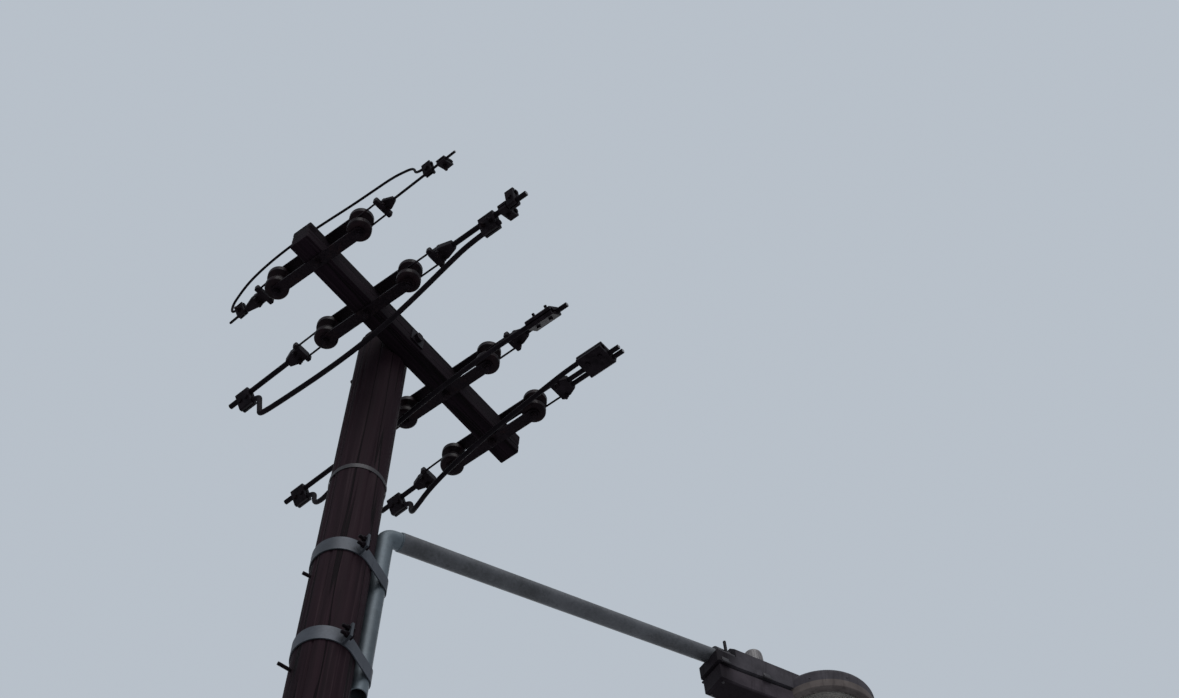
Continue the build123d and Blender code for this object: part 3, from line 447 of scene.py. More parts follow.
def arm_timber():
    """The crossarm's nearly black hardwood, with its grain along X."""
    material, place = new_finish("arm_timber")
    fibre = place.noise(120.0, 6.0, 0.6, (0.018, 1.0, 1.0))
    grain = place.noise(34.0, 5.0, 0.55, (0.035, 1.0, 1.0))
    blotch = place.noise(6.0, 3.0, 0.6, (0.4, 1.0, 1.0))
    split = 1.0 - abs(place.noise(24.0, 3.0, 0.5, (0.03, 1.0, 1.0)) - 0.5).step(0.004, 0.026)
    lichen = place.noise(42.0, 5.0, 0.7).step(0.60, 0.72) * blotch.step(0.48, 0.66)
    worn = (grain * 0.6 + fibre * 0.4).step(0.36, 0.66)
    base = worn.mix((0.0030, 0.0012, 0.0026), (0.0095, 0.0045, 0.0082))
    base = (fibre.step(0.56, 0.74) * 0.5).mix(base, (0.020, 0.0125, 0.0165))
    base = (lichen * 0.25).mix(base, (0.022, 0.021, 0.020))
    base = (split * 0.9).mix(base, (0.0012, 0.0006, 0.001))
    relief = fibre * 0.5 + grain * 0.5 - split * 1.3
    surface(place, base, 0.66 + 0.22 * grain, height=relief, relief=0.0022, **DULL)
    return material


# Metal and porcelain finishes
def galvanised(name, dark, pale, stain, rust=0.0):
    """Hot-dip zinc gone dull: soft spangle, chalky clouds, grey runs and a little rust."""
    material, place = new_finish(name)
    spangle = place.node("SeparateColor", None, {"Color": place.cells(140.0, out="Color")})
    cloud = place.noise(7.0, 4.0, 0.5)
    runs = place.noise(48.0, 4.0, 0.6, (1.0, 1.0, 0.05)).step(0.56, 0.76)
    spots = place.noise(75.0, 4.0, 0.65).step(0.64 - rust * 0.2, 0.78 - rust * 0.2)
    pits = place.noise(420.0, 3.0, 0.6)
    base = (cloud * 0.88 + spangle * 0.12).step(0.22, 0.78).mix(dark, pale)
    base = (runs * 0.3).mix(base, stain)
    base = (spots * rust).mix(base, (0.040, 0.018, 0.013))
    rough = 0.48 + 0.16 * cloud + 0.10 * runs + 0.25 * spots * rust
    relief = pits * 0.25 + spangle * 0.06 + cloud * 0.2
    surface(place, base, rough, 0.45 - 0.3 * spots * rust, relief, 0.0004)
    return material


def old_steel():
    """Straps, bolts and bails: once galvanised, now nearly black with rust showing through."""
    material, place = new_finish("old_steel")
    cloud = place.noise(26.0, 5.0, 0.65)
    flake = place.noise(180.0, 5.0, 0.7)
    rust = (cloud * 0.6 + flake * 0.4).step(0.50, 0.66)
    base = flake.step(0.3, 0.7).mix((0.0042, 0.0026, 0.0040), (0.0125, 0.0088, 0.0118))
    base = (rust * 0.55).mix(base, (0.020, 0.0092, 0.0085))
    rough = 0.50 + 0.3 * rust
    surface(place, base, rough, 0.5 - 0.3 * rust, flake * 0.7 + rust * 0.5, 0.0005, **DULL)
    return material


def brown_porcelain():
    """Dark brown glaze, glossy where rain washes it and dusty in the hollows."""
    material, place = new_finish("brown_porcelain")
    pool = place.noise(38.0, 3.0, 0.5)
    speck = place.noise(520.0, 2.0, 0.5).step(0.60, 0.72)
    dust = place.noise(85.0, 5.0, 0.65).step(0.46, 0.74)
    base = pool.step(0.3, 0.7).mix((0.0036, 0.0015, 0.0027), (0.0098, 0.0042, 0.0060))
    base = (speck * 0.2).mix(base, (0.020, 0.011, 0.012))
    base = (dust * 0.14).mix(base, (0.020, 0.015, 0.018))
    rough = 0.42 + 0.3 * dust
    relief = pool * 0.5 + dust * 0.1
    surface(place, base, rough, height=relief, relief=0.0005, coat=0.025 - 0.02 * dust, **DULL)
    return material


def cast_alloy():
    """Clamps and connectors: sand-cast alloy, weathered dark grey."""
    material, place = new_finish("cast_alloy")
    sand = place.noise(560.0, 3.0, 0.6)
    cloud = place.noise(32.0, 5.0, 0.6)
    bloom = place.noise(120.0, 5.0, 0.7).step(0.56, 0.72)
    base = cloud.step(0.3, 0.7).mix((0.0046, 0.0030, 0.0044), (0.0135, 0.0100, 0.0130))
    base = (bloom * 0.3).mix(base, (0.028, 0.024, 0.027))
    grit = sand * 0.6 + cloud * 0.4
    surface(place, base, 0.54 + 0.25 * bloom, 0.4 - 0.25 * bloom, grit, 0.0004, **DULL)
    return material


# Cable finishes
def cable_cover():
    """Black weatherproof cable cover with a faint bloom and road dust."""
    material, place = new_finish("cable_cover")
    cloud = place.noise(18.0, 4.0, 0.6)
    scuff = place.noise(210.0, 4.0, 0.65)
    dust = (cloud * 0.6 + scuff * 0.4).step(0.46, 0.66)
    base = dust.mix((0.0040, 0.0026, 0.0042), (0.0105, 0.0078, 0.0108))
    surface(place, base, 0.6 + 0.25 * dust, height=scuff, relief=0.0003, **DULL)
    return material


def bare_strand():
    material, place = new_finish("bare_strand")
    tone = place.noise(300.0, 3.0, 0.6)
    base = tone.step(0.3, 0.7).mix((0.20, 0.19, 0.19), (0.42, 0.41, 0.42))
    surface(place, base, 0.4, 0.9, tone, 0.0002)
    return material


# Lantern finishes. Painted shade lies beside the arm, and fades out between these places along X, and under
# the cover
ARM_SHADE_FADES = (1.33, 1.42)


def lantern_painted_shade(place):
    """Painted shade mask: 1 on the lantern's rear and on the gear cover's underside, 0 elsewhere."""
    beside_arm = 1.0 - place.part("X").step(*ARM_SHADE_FADES)
    lantern = lantern_place()
    up = lantern.to_3x3() @ Vector((0, 0, 1))
    level = place.part("X") * up.x + place.part("Y") * up.y + place.part("Z") * up.z
    foot = lantern.translation.dot(up) + LANTERN_SEAM - GEAR_COVER_DEPTH
    below = 1.0 - level.step(foot, foot + GEAR_COVER_CORNER)
    return place.math("MAXIMUM", beside_arm, below)


def chalky_paint(name, dark, pale):
    """Old stove enamel on the lantern: chalky and chipped, with dirt running from the joints, and painted
    shade on its rear and underside.
    """
    material, place = new_finish(name)
    painted_shade = lantern_painted_shade(place)
    cloud = place.noise(9.0, 5.0, 0.6)
    orange = place.noise(340.0, 2.0, 0.5)
    runs = place.noise(60.0, 4.0, 0.6, (1.0, 1.0, 0.07)).step(0.50, 0.72)
    chips = place.noise(95.0, 5.0, 0.7).step(0.69, 0.73)
    base = cloud.step(0.3, 0.7).mix(dark, pale)
    base = (runs * 0.4).mix(base, (0.010, 0.008, 0.010))
    base = (chips * 0.3).mix(base, (0.080, 0.076, 0.080))
    # Painted shade: darkens the lantern's rear beside the arm and the gear cover's underside
    base = (painted_shade * 0.85).mix(base, (0.0050, 0.0030, 0.0048))
    rough = 0.52 + 0.2 * cloud + 0.1 * runs
    relief = orange * 0.35 + cloud * 0.3 - chips * 0.4
    surface(place, base, rough, height=relief, relief=0.0005, **DULL)
    return material


def lamp_glass():
    """Clear bowl, dusty and a little yellowed."""
    material, place = new_finish("lamp_glass")
    dust = place.noise(14.0, 5.0, 0.65).step(0.35, 0.75)
    base = dust.mix((0.66, 0.62, 0.56), (0.46, 0.42, 0.37))
    ripple = place.noise(60.0, 2.0, 0.5)
    clear = {"Transmission Weight": 0.9, "IOR": 1.49}
    surface(place, base, 0.05 + 0.3 * dust, height=ripple, relief=0.0004, **clear)
    return material


def spun_reflector():
    """Dull spun aluminium inside the lantern, grey with dust."""
    material, place = new_finish("spun_reflector")
    cloud = place.noise(12.0, 4.0, 0.6)
    dust = place.noise(70.0, 4.0, 0.6).step(0.45, 0.7)
    base = cloud.step(0.3, 0.7).mix((0.15, 0.15, 0.155), (0.24, 0.24, 0.245))
    base = (dust * 0.4).mix(base, (0.09, 0.085, 0.08))
    surface(place, base, 0.4 + 0.3 * dust, 0.8 - 0.5 * dust)
    return material


def white_glaze():
    """Lampholder's white porcelain, dusty."""
    material, place = new_finish("white_glaze")
    dust = place.noise(60.0, 4.0, 0.6).step(0.4, 0.7)
    surface(place, dust.mix((0.55, 0.54, 0.50), (0.36, 0.34, 0.31)), 0.25 + 0.4 * dust)
    return material


def coated_lamp():
    """Lamp with a milky coat inside its glass."""
    material, place = new_finish("coated_lamp")
    cloud = place.noise(20.0, 3.0, 0.5)
    surface(place, cloud.step(0.3, 0.7).mix((0.62, 0.62, 0.60), (0.74, 0.74, 0.72)), 0.2, coat=0.5)
    return material


def sensor_plastic():
    """The light sensor's moulded cap, grey and dusty."""
    material, place = new_finish("sensor_plastic")
    cloud = place.noise(40.0, 4.0, 0.6)
    dust = place.noise(160.0, 4.0, 0.6).step(0.5, 0.7)
    base = cloud.step(0.3, 0.7).mix((0.092, 0.085, 0.090), (0.148, 0.140, 0.144))
    base = (dust * 0.4).mix(base, (0.070, 0.062, 0.064))
    surface(place, base, 0.5 + 0.2 * dust, height=cloud, relief=0.0004)
    return material


# Making pieces
def mesh_object(bm, name, finish):
    """Object of a finished bmesh."""
    mesh = bpy.data.meshes.new(name)
    bm.to_mesh(mesh)
    bm.free()
    mesh.materials.append(finish)
    return add_object(name, mesh)


def keep(bm, name, finish, replaced=(), crease=35.0):
    """Turns a finished bmesh into a piece that rides with the pole and stands for CAD nodes."""
    bmesh.ops.recalc_face_normals(bm, faces=bm.faces)
    piece = mesh_object(bm, name, finish)
    piece.data.shade_smooth()
    piece.data.set_sharp_from_angle(angle=radians(crease))
    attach(piece, "root")
    if replaced:
        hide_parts(*replaced)


def arc(centre, radius, start, end, steps):
    """Points of a profile's round corner, as distance from the axis and height."""
    angles = [radians(start + (end - start) * i / steps) for i in range(steps + 1)]
    return [(centre[0] + radius * cos(a), centre[1] + radius * sin(a)) for a in angles]


def turned(bm, profile, place, steps):
    """Spins a profile of distances and heights round Z and puts it at a place. Returns the new vertices."""
    verts = [bm.verts.new((r, 0, z)) for r, z in profile]
    edges = [bm.edges.new(pair) for pair in zip(verts, verts[1:])]
    before = set(bm.verts) - set(verts)
    bmesh.ops.spin(
        bm, geom=verts + edges, cent=(0, 0, 0), axis=(0, 0, 1), angle=2 * pi, steps=steps, use_merge=True
    )
    made = [v for v in bm.verts if v not in before]
    bmesh.ops.remove_doubles(bm, verts=made, dist=1e-6)
    made = [v for v in bm.verts if v not in before]
    bmesh.ops.transform(bm, matrix=place, verts=made)
    return made


def round_edges(bm, edges, offset, segments):
    bmesh.ops.bevel(
        bm, geom=edges, offset=offset, offset_type="OFFSET", affect="EDGES", segments=segments,
        profile=0.5, material=-1,
    )


def cut(bm, spot, normal, snap):
    """Gives the mesh vertices all along a plane. Those within snap of it are used as they are."""
    geom = list(bm.verts) + list(bm.edges) + list(bm.faces)
    bmesh.ops.bisect_plane(bm, geom=geom, plane_co=spot, plane_no=normal, dist=snap)


def block(bm, size, place, rounding=0.0012):
    """Box with rounded edges, its middle at a place."""
    made = bmesh.ops.create_cube(bm, size=1.0)["verts"]
    bmesh.ops.scale(bm, vec=size, verts=made)
    edges = list({edge for v in made for edge in v.link_edges})
    before = set(bm.verts) - set(made)
    round_edges(bm, edges, rounding, 2)
    bmesh.ops.transform(bm, matrix=place, verts=[v for v in bm.verts if v not in before])


def screw(bm, radius, height, place):
    """Round-headed screw that stands up along Z, its foot a little below."""
    corner = height * SCREW_ROUNDING
    dome = arc((radius - corner, height - corner), corner, 0, 90, 4)
    turned(bm, [(0.0, -SCREW_SUNK), (radius, -SCREW_SUNK)] + dome + [(0.0, height)], place, SCREW_SIDES)


# Light and floor. Each sun has a name, the direction that it comes from, a strength and a width in degrees
WORLD_LIGHT = 0.43
BACKDROP = (0.48, 0.53, 0.59)
SUNS = (
    ("key", (-0.44, -0.50, 0.75), 1.65, 40.0),
    ("rim", (0.62, 0.50, 0.60), 0.7, 50.0),
)
FLOOR_COLOUR = (0.48, 0.50, 0.53)
FLOOR_HALF = 40.0


def studio_world():
    """Even white light, and a pale background that the camera, gloss and glass see."""
    world = bpy.data.worlds.new("studio")
    bpy.context.scene.world = world
    world.use_nodes = True
    world.node_tree.nodes.clear()
    start = Socket(world.node_tree)
    rays = ("Is Camera Ray", "Is Glossy Ray", "Is Transmission Ray")
    camera_ray, glossy_ray, clear_ray = (start.node("LightPath", out=name) for name in rays)
    seen = start.math("MAXIMUM", camera_ray, start.math("MAXIMUM", glossy_ray, clear_ray))
    light = start.node("Background", None, {"Color": (1.0, 1.0, 1.0, 1.0), "Strength": WORLD_LIGHT})
    backdrop = start.node("Background", None, {"Color": (*BACKDROP, 1.0), "Strength": 1.0})
    both = start.node("MixShader", None, {0: seen, 1: light, 2: backdrop})
    start.node("OutputWorld", None, {"Surface": both})


def suns():
    """Two broad suns, so that shadows stay soft."""
    for name, direction, strength, width in SUNS:
        lamp = bpy.data.lights.new(name, "SUN")
        lamp.energy = strength
        lamp.angle = radians(width)
        holder = add_object(name, lamp)
        holder.rotation_mode = "QUATERNION"
        holder.rotation_quaternion = Vector(direction).to_track_quat("Z", "Y")


def pale_floor():
    bm = bmesh.new()
    bmesh.ops.create_grid(bm, x_segments=1, y_segments=1, size=FLOOR_HALF)
    material, place = new_finish("pale_floor")
    surface(place, FLOOR_COLOUR, 0.9)
    mesh_object(bm, "floor", material)


# Pole: its mesh, the waves in its side and the seasoning checks, each drawn between two limits
POLE_SIDES = 168
POLE_RINGS = 380
POLE_CORE = 0.02
SLOW_WAVE = 0.0016
FINE_WAVE = 0.0008
WAVES_INWARD = 0.0012
NOTCH_PLAY = 0.001
NOTCH_EDGE = 0.0003
POLE_SEED = 7
CHECKS = 46
CHECKS_OUTSIDE = 0.06
CHECK_LOWEST = (-0.4, 9.0)
CHECK_LENGTH = (0.5, 2.6)
CHECK_DEPTH = (0.002, 0.007)
CHECK_WIND = (-0.03, 0.05)
CHECK_WANDER = 0.05
CHECK_BENDS = 1.6
CHECK_HALF_WIDTH = 0.0064
CHECK_END_TAPER = 0.6
CHECK_SIDE_TAPER = 1.3


def seasoning_checks(random):
    """Long splits down the pole: direction, lowest and highest point, depth and how fast they wind."""
    checks = []
    for _ in range(CHECKS):
        low = random.uniform(*CHECK_LOWEST)
        high = low + random.uniform(*CHECK_LENGTH)
        direction = random.uniform(0, 2 * pi)
        depth = random.uniform(*CHECK_DEPTH)
        wind = random.uniform(*CHECK_WIND)
        seed = random.uniform(0, 10)
        checks.append((direction, low, high, depth, wind, seed))
    return checks


def check_depth(angle, z, radius, checks):
    """How deep the splits are at one spot of the pole's side."""
    deepest = 0.0
    for direction, low, high, depth, wind, seed in checks:
        if low < z < high:
            share = (z - low) / (high - low)
            wander = CHECK_WANDER * noise.noise(Vector((seed, z * CHECK_BENDS, 0.0)))
            away = (angle - direction - wind * (z - low) - wander + pi) % (2 * pi) - pi
            gap = abs(away) * radius
            if gap < CHECK_HALF_WIDTH:
                along = sin(pi * share) ** CHECK_END_TAPER
                across = (1 - gap / CHECK_HALF_WIDTH) ** CHECK_SIDE_TAPER
                deepest = max(deepest, depth * along * across)
    return deepest


def pole_outline():
    """Half outline of the pole: foot, tapering side in many rings, round shoulder and crown."""
    side = POLE_HEIGHT - POLE_TOP_ROUNDING
    heights = [side * i / POLE_RINGS for i in range(POLE_RINGS + 1)]
    shoulder = arc((POLE_TOP_RADIUS - POLE_TOP_ROUNDING, side), POLE_TOP_ROUNDING, 0, 90, 12)[1:]
    crown = [(POLE_TOP_RADIUS * share, POLE_HEIGHT) for share in (0.4, 0.3, 0.2, 0.1, 0.0)]
    return [(0.0, 0.0)] + [(pole_radius(z), z) for z in heights] + shoulder + crown


def weather_pole(bm):
    """Waves and checks in the pole's side, and the flat of the notch that the crossarm sits in."""
    checks = seasoning_checks(Random(POLE_SEED))
    for v in bm.verts:
        x, y, z = v.co
        radius = sqrt(x * x + y * y)
        if radius < POLE_CORE:
            continue
        angle = Vector((x, y)).angle_signed(Vector((1, 0)))
        wave = noise.noise(Vector((x * 6, y * 6, z * 0.7))) * SLOW_WAVE
        wave += noise.noise(Vector((x * 30, y * 30, z * 1.4))) * FINE_WAVE
        sunk = check_depth(angle, z, radius, checks) if radius > CHECKS_OUTSIDE else 0.0
        grow = (radius + wave - sunk - WAVES_INWARD) / radius
        v.co.x = x * grow
        v.co.y = y * grow
        if abs(z - ARM_Z) < ARM_HEIGHT / 2 + NOTCH_PLAY and v.co.y < ARM_BACK:
            v.co.y = ARM_BACK


def timber_pole(finish):
    """Round pole with its taper, rounded top, notch, waves and checks."""
    bm = bmesh.new()
    turned(bm, pole_outline(), Matrix.Identity(4), POLE_SIDES)
    for side in (-1, 1):
        notch_end = ARM_Z + side * (ARM_HEIGHT / 2 + NOTCH_PLAY)
        for z in (notch_end - NOTCH_EDGE, notch_end + NOTCH_EDGE):
            cut(bm, (0, 0, z), (0, 0, 1), 1e-7)
    weather_pole(bm)
    keep(bm, "pole_timber", finish, ("pole",), crease=50.0)


# Crossarm: cuts along, across and up its mesh, how deep its grain and dents go, and the splits in its ends
ARM_CUTS = (110, 12, 14)
ARM_EDGE = 0.005
ARM_GRAIN = 0.0007
ARM_DENTS = 0.0009
ARM_SEED = 11
END_SPLITS = 9
END_SPLIT_HEIGHT = (-0.03, 0.03)
END_SPLIT_LENGTH = (0.05, 0.22)
END_SPLIT_DEPTH = 0.004
END_SPLIT_HALF_WIDTH = 0.004


def end_splits(random):
    """Splits in the crossarm's ends: height, which end, and length."""
    return [
        (random.uniform(*END_SPLIT_HEIGHT), random.choice((-1, 1)), random.uniform(*END_SPLIT_LENGTH))
        for _ in range(END_SPLITS)
    ]


def weather_arm(bm):
    """Grain that stands proud, shallow dents and the end splits, all sunk into the crossarm."""
    splits = end_splits(Random(ARM_SEED))
    for v in bm.verts:
        x, y, z = v.co
        grain = noise.noise(Vector((x * 2.2, y * 70, z * 70))) * ARM_GRAIN
        slow = noise.noise(Vector((x * 5, y * 9, z * 9))) * ARM_DENTS
        dent = max(0.0, grain + slow)
        for height, end, length in splits:
            share = 1 - (ARM_LENGTH / 2 - end * x) / length
            if share > 0 and abs(z - height) < END_SPLIT_HALF_WIDTH:
                dent += END_SPLIT_DEPTH * share
        v.co += Vector((0, -y / ARM_DEPTH, -z / ARM_HEIGHT)) * dent


def timber_arm(finish):
    """Sawn crossarm with worn edges, in its place on the pole."""
    size = (ARM_LENGTH, ARM_DEPTH, ARM_HEIGHT)
    bm = bmesh.new()
    bmesh.ops.create_cube(bm, size=1.0)
    bmesh.ops.scale(bm, vec=size, verts=bm.verts)
    round_edges(bm, list(bm.edges), ARM_EDGE, 3)
    for axis, count, span in zip(range(3), ARM_CUTS, size):
        normal = Vector((0.0, 0.0, 0.0))
        normal[axis] = 1.0
        for i in range(1, count):
            cut(bm, normal * (-span / 2 + span * i / count), normal, 1e-6)
    weather_arm(bm)
    bmesh.ops.translate(bm, vec=(0, ARM_Y, ARM_Z), verts=bm.verts)
    keep(bm, "crossarm_timber", finish, ("crossarm",), crease=50.0)


# Insulators
def spool_outline():
    """Half outline of a spool: flat faces with a rounded lip, a bead, and a round groove for the bail."""
    half = ARM_HEIGHT / 2
    lower = [(SET_BOLT + SPOOL_BORE_PLAY, -half), (SPOOL_FACE, -half)]
    lower += arc((SPOOL_RADIUS - SPOOL_LIP, -half + SPOOL_LIP), SPOOL_LIP, -90, 0, 7)
    lower += arc((SPOOL_RADIUS - SPOOL_BEAD, -SPOOL_BEAD_HEIGHT), SPOOL_BEAD, -20, 60, 5)
    lower += arc((SPOOL_WAIST + SPOOL_THROAT, 0.0), SPOOL_THROAT, 240, 180, 6)
    upper = [(r, -z) for r, z in reversed(lower)]
    return lower + upper[1:] + [lower[0]]


def insulators(finish):
    for number, x in enumerate(SET_X, 1):
        for side, word in ((-1, "front"), (1, "back")):
            bm = bmesh.new()
            turned(bm, spool_outline(), move(x, ARM_Y + side * SPOOL_REACH, ARM_Z), SPOOL_SIDES)
            node = f"insulator_{word}_{number}"
            keep(bm, f"spool_{word}_{number}", finish, (node,), crease=60.0)


# Threads
def thread(bm, radius, length, place):
    """Threaded tail of a bolt: ridges round a rod that runs up along Z from the nut."""
    turns = int(length / THREAD_PITCH)
    tip = turns * THREAD_PITCH + THREAD_TIP
    profile = [(radius - THREAD_DEPTH, 0.0)]
    for i in range(turns):
        profile.append((radius + THREAD_DEPTH, (i + 0.5) * THREAD_PITCH))
        profile.append((radius - THREAD_DEPTH / 2, (i + 1) * THREAD_PITCH))
    profile.append((radius - THREAD_TIP_BEVEL, tip))
    profile.append((0.0, tip))
    turned(bm, profile, place, THREAD_SIDES)


def set_bolt_threads(finish):
    """Tails under the bolts of the shackle sets, and behind the pole on the crossarm's through bolt."""
    bm = bmesh.new()
    nut_under = ARM_Z - ARM_HEIGHT / 2 - STRAP_THICKNESS - BOLT_NUT * SET_BOLT
    for x in SET_X:
        for y in (-SPOOL_REACH, 0.0, SPOOL_REACH):
            thread(bm, SET_BOLT, BOLT_TAIL, move(x, ARM_Y + y, nut_under) @ rotate(180, "X"))
    behind = pole_radius(ARM_Z - KING_WASHER / 2) + KING_WASHER_THICKNESS + BOLT_NUT * KING_BOLT
    thread(bm, KING_BOLT, 2 * BOLT_TAIL, move(0, behind, ARM_Z) @ rotate(-90, "X"))
    keep(bm, "set_bolt_threads", finish)


def clamp_and_jaw_threads(finish):
    """Tails under the bolts of the dead-end clamps and the connectors. A long connector has two bolts."""
    down = rotate(180, "X")
    nut = BOLT_NUT * SMALL_BOLT
    bm = bmesh.new()
    for side, rows in GRIPS:
        for x, lean, (radius, offset, along, connectors) in zip(SET_X, LINE_LEANS, rows):
            line = line_place(x, lean, side)
            out = offset + radius + CLAMP_WEB + SMALL_BOLT
            for y in (-out, out):
                thread(bm, SMALL_BOLT, BOLT_TAIL, line @ move(along, y, -radius - CLAMP_WALL - nut) @ down)
            out = offset + radius + JAW_WEB + SMALL_BOLT
            for middle, length, roll in connectors:
                place = line @ move(middle) @ rotate(roll, "X")
                for step in ((0.0,) if length < LONG_JAW else (-length / 4, length / 4)):
                    spot = move(step, out, -radius - JAW_BACK - nut)
                    thread(bm, SMALL_BOLT, JAW_BOLT_TAIL, place @ spot @ down)
    keep(bm, "clamp_and_jaw_threads", finish)


def band_bolt_threads(finish):
    """Tails of the bolts through the bands' ears."""
    tail = move(z=-BAND_THICKNESS - BOLT_NUT * BAND_BOLT) @ rotate(180, "X")
    bm = bmesh.new()
    for drop in BAND_DROPS:
        wall = pole_radius(ARM_Z - drop - BAND_HEIGHT / 2) + BAND_PLAY + BAND_THICKNESS
        reach = wall + BAND_EAR_LENGTH * BAND_EAR_BOLTS
        for side in (-1, 1):
            for step in (-BAND_BOLT_SPACING / 2, BAND_BOLT_SPACING / 2):
                ear = bracket_place() @ move(z=-drop + step) @ rotate(side * BAND_EAR_ANGLE, "Z")
                thread(bm, BAND_BOLT, BOLT_TAIL, ear @ move(reach) @ rotate(side * 90, "X") @ tail)
    keep(bm, "band_bolt_threads", finish)


def stud_threads(finish):
    """The long threaded studs that stand up beside the saddle."""
    bm = bmesh.new()
    foot = SHELF_TOP + SADDLE_FOOT + BOLT_NUT * SMALL_BOLT
    for y in (-SADDLE_BOLT_OUT, SADDLE_BOLT_OUT):
        thread(bm, SMALL_BOLT, SADDLE_STUD_TOP - foot, lantern_place() @ move(0, y, foot))
    keep(bm, "stud_threads", finish)


# Bracket and lantern
def elbow_weld(finish):
    """Uneven weld bead round the pipe where the arm leaves the elbow."""
    bm = bmesh.new()
    crown = arc((TAIL_RADIUS - WELD_SUNK, 0.0), WELD_SIZE, -80, 80, 6)
    inner = TAIL_RADIUS - 2 * WELD_SUNK
    outline = [(inner, -WELD_SIZE)] + crown + [(inner, WELD_SIZE), (inner, -WELD_SIZE)]
    made = turned(bm, outline, Matrix.Identity(4), WELD_SIDES)
    for v in made:
        spot = Vector((v.co.x * WELD_RIPPLE_SCALE, v.co.y * WELD_RIPPLE_SCALE, WELD_SEED))
        ripple = noise.noise(spot) * WELD_RIPPLE
        v.co.z += ripple
        v.co.x *= 1 + ripple / TAIL_RADIUS
        v.co.y *= 1 + ripple / TAIL_RADIUS
    place = arm_place() @ move(ARM_ROOT - WELD_BACK) @ rotate(90, "Y")
    bmesh.ops.transform(bm, matrix=place, verts=made)
    keep(bm, "elbow_weld", finish)


def clear_bowl(finish):
    """The lamp's bowl, smooth all round: a collar inside the ring and a spherical cap under it."""
    rim = LANTERN_RADIUS - RING_WIDTH - BOWL_PLAY
    depth = BOWL_DEPTH - RING_HEIGHT
    sphere = (rim * rim + depth * depth) / (2 * depth)
    above_collar = sphere - depth
    centre = LANTERN_SEAM - RING_HEIGHT + above_collar
    outside, inside = (
        arc((0.0, centre), radius, -90, -90 + degrees(acos(above_collar / radius)), BOWL_RINGS)
        for radius in (sphere, sphere - BOWL_WALL)
    )
    lip = [(rim, LANTERN_SEAM), (inside[-1][0], LANTERN_SEAM)]
    bm = bmesh.new()
    turned(bm, outside + lip + inside[::-1], lantern_place() @ move(LANTERN_AHEAD), BOWL_SIDES)
    keep(bm, "clear_bowl", finish, ("lantern_bowl",), crease=50.0)


def latch(bm, ring_front):
    """Spring latch at the front of the ring: a plate, its lip and two screws."""
    block(bm, LATCH_PLATE, ring_front @ move(*LATCH_PLATE_PLACE))
    block(bm, LATCH_LIP, ring_front @ move(*LATCH_LIP_PLACE))
    ahead, out, up = LATCH_SCREW_PLACE
    for y in (-out, out):
        screw(bm, *LATCH_SCREW, ring_front @ move(ahead, y, up) @ rotate(90, "Y"))


def hinge(bm, seam, x, side):
    """Hinge of the gear cover on one side of the housing: a plate and the knuckle round its pin."""
    share = max(0.0, x - HOOD_BACK) / (HOOD_FRONT - HOOD_BACK)
    half = HOUSING_BACK_HALF + share * (HOUSING_FRONT_HALF - HOUSING_BACK_HALF)
    block(bm, HINGE_PLATE, seam @ move(x, side * (half + HINGE_OUT), HINGE_UP))
    pin = seam @ move(x - PIN_LENGTH / 2, side * (half + PIN_OUT), -PIN_DOWN) @ rotate(90, "Y")
    knuckle = [(0.0, 0.0), (PIN_RADIUS, 0.0), (PIN_RADIUS, PIN_LENGTH), (0.0, PIN_LENGTH)]
    turned(bm, knuckle, pin, PIN_SIDES)


def lantern_trim(finish):
    """Latch, hinges, screws in the gear cover and screws round the canopy's rim."""
    seam = lantern_place() @ move(z=LANTERN_SEAM)
    bm = bmesh.new()
    latch(bm, seam @ move(LANTERN_AHEAD + LANTERN_RADIUS))
    for side in (-1, 1):
        for x in HINGES_AHEAD:
            hinge(bm, seam, x, side)
        for x in COVER_SCREWS_AHEAD:
            under = seam @ move(x, side * COVER_SCREWS_OUT, -GEAR_COVER_DEPTH)
            screw(bm, *COVER_SCREW, under @ rotate(180, "X"))
    for angle in RIM_SCREW_ANGLES:
        rim = seam @ move(LANTERN_AHEAD) @ rotate(angle, "Z") @ move(LANTERN_RADIUS, 0, RIM_SCREWS_UP)
        screw(bm, *RIM_SCREW, rim @ rotate(90, "Y"))
    keep(bm, "lantern_trim", finish)


def sensor_ribs(finish):
    """Grip ribs round the light sensor's cap and the ring that it twists into."""
    fall = (HOOD_BACK_SHOULDER - HOOD_FRONT_SHOULDER) / (HOOD_FRONT - HOOD_BACK)
    height = HOOD_BACK_SHOULDER + HOOD_CROWN - (PHOTOCELL_AHEAD - HOOD_BACK) * fall
    seat = lantern_place() @ move(PHOTOCELL_AHEAD, 0, height) @ rotate(degrees(atan(fall)), "Y")
    lean = degrees(atan((PHOTOCELL_RADIUS - PHOTOCELL_TOP_RADIUS) / PHOTOCELL_HEIGHT))
    rib = move(SENSOR_RIB_OUT, 0, SENSOR_RIB_UP) @ rotate(-lean, "Y")
    bm = bmesh.new()
    turned(bm, SENSOR_COLLAR, seat, SENSOR_SIDES)
    for i in range(SENSOR_RIBS):
        block(bm, SENSOR_RIB, seat @ rotate(360 * i / SENSOR_RIBS, "Z") @ rib, SENSOR_RIB_ROUNDING)
    keep(bm, "sensor_ribs", finish)


# Conductors and jumpers
def cut_ends(finish):
    """Bare strands that show where each line conductor is cut, six of them round one."""
    bm = bmesh.new()
    for side, rows in LINE_ENDS:
        for x, lean, (reach, radius, offsets) in zip(SET_X, LINE_LEANS, rows):
            strand = radius * STRAND_SHARE
            wide = strand * STRAND_GAP
            outline = [(0.0, -STRAND_SUNK), (wide, -STRAND_SUNK), (wide, STRAND_EDGE), (0.0, STRAND_TIP)]
            ring = [(2 * strand * cos(a * pi / 3), 2 * strand * sin(a * pi / 3)) for a in range(6)]
            for offset in offsets:
                end = line_place(x, lean, side) @ move(0, offset) @ rotate(90, "Y")
                for across, up in [(0.0, 0.0)] + ring:
                    turned(bm, outline, end @ move(across, up, reach), STRAND_SIDES)
    keep(bm, "conductor_strands", finish)


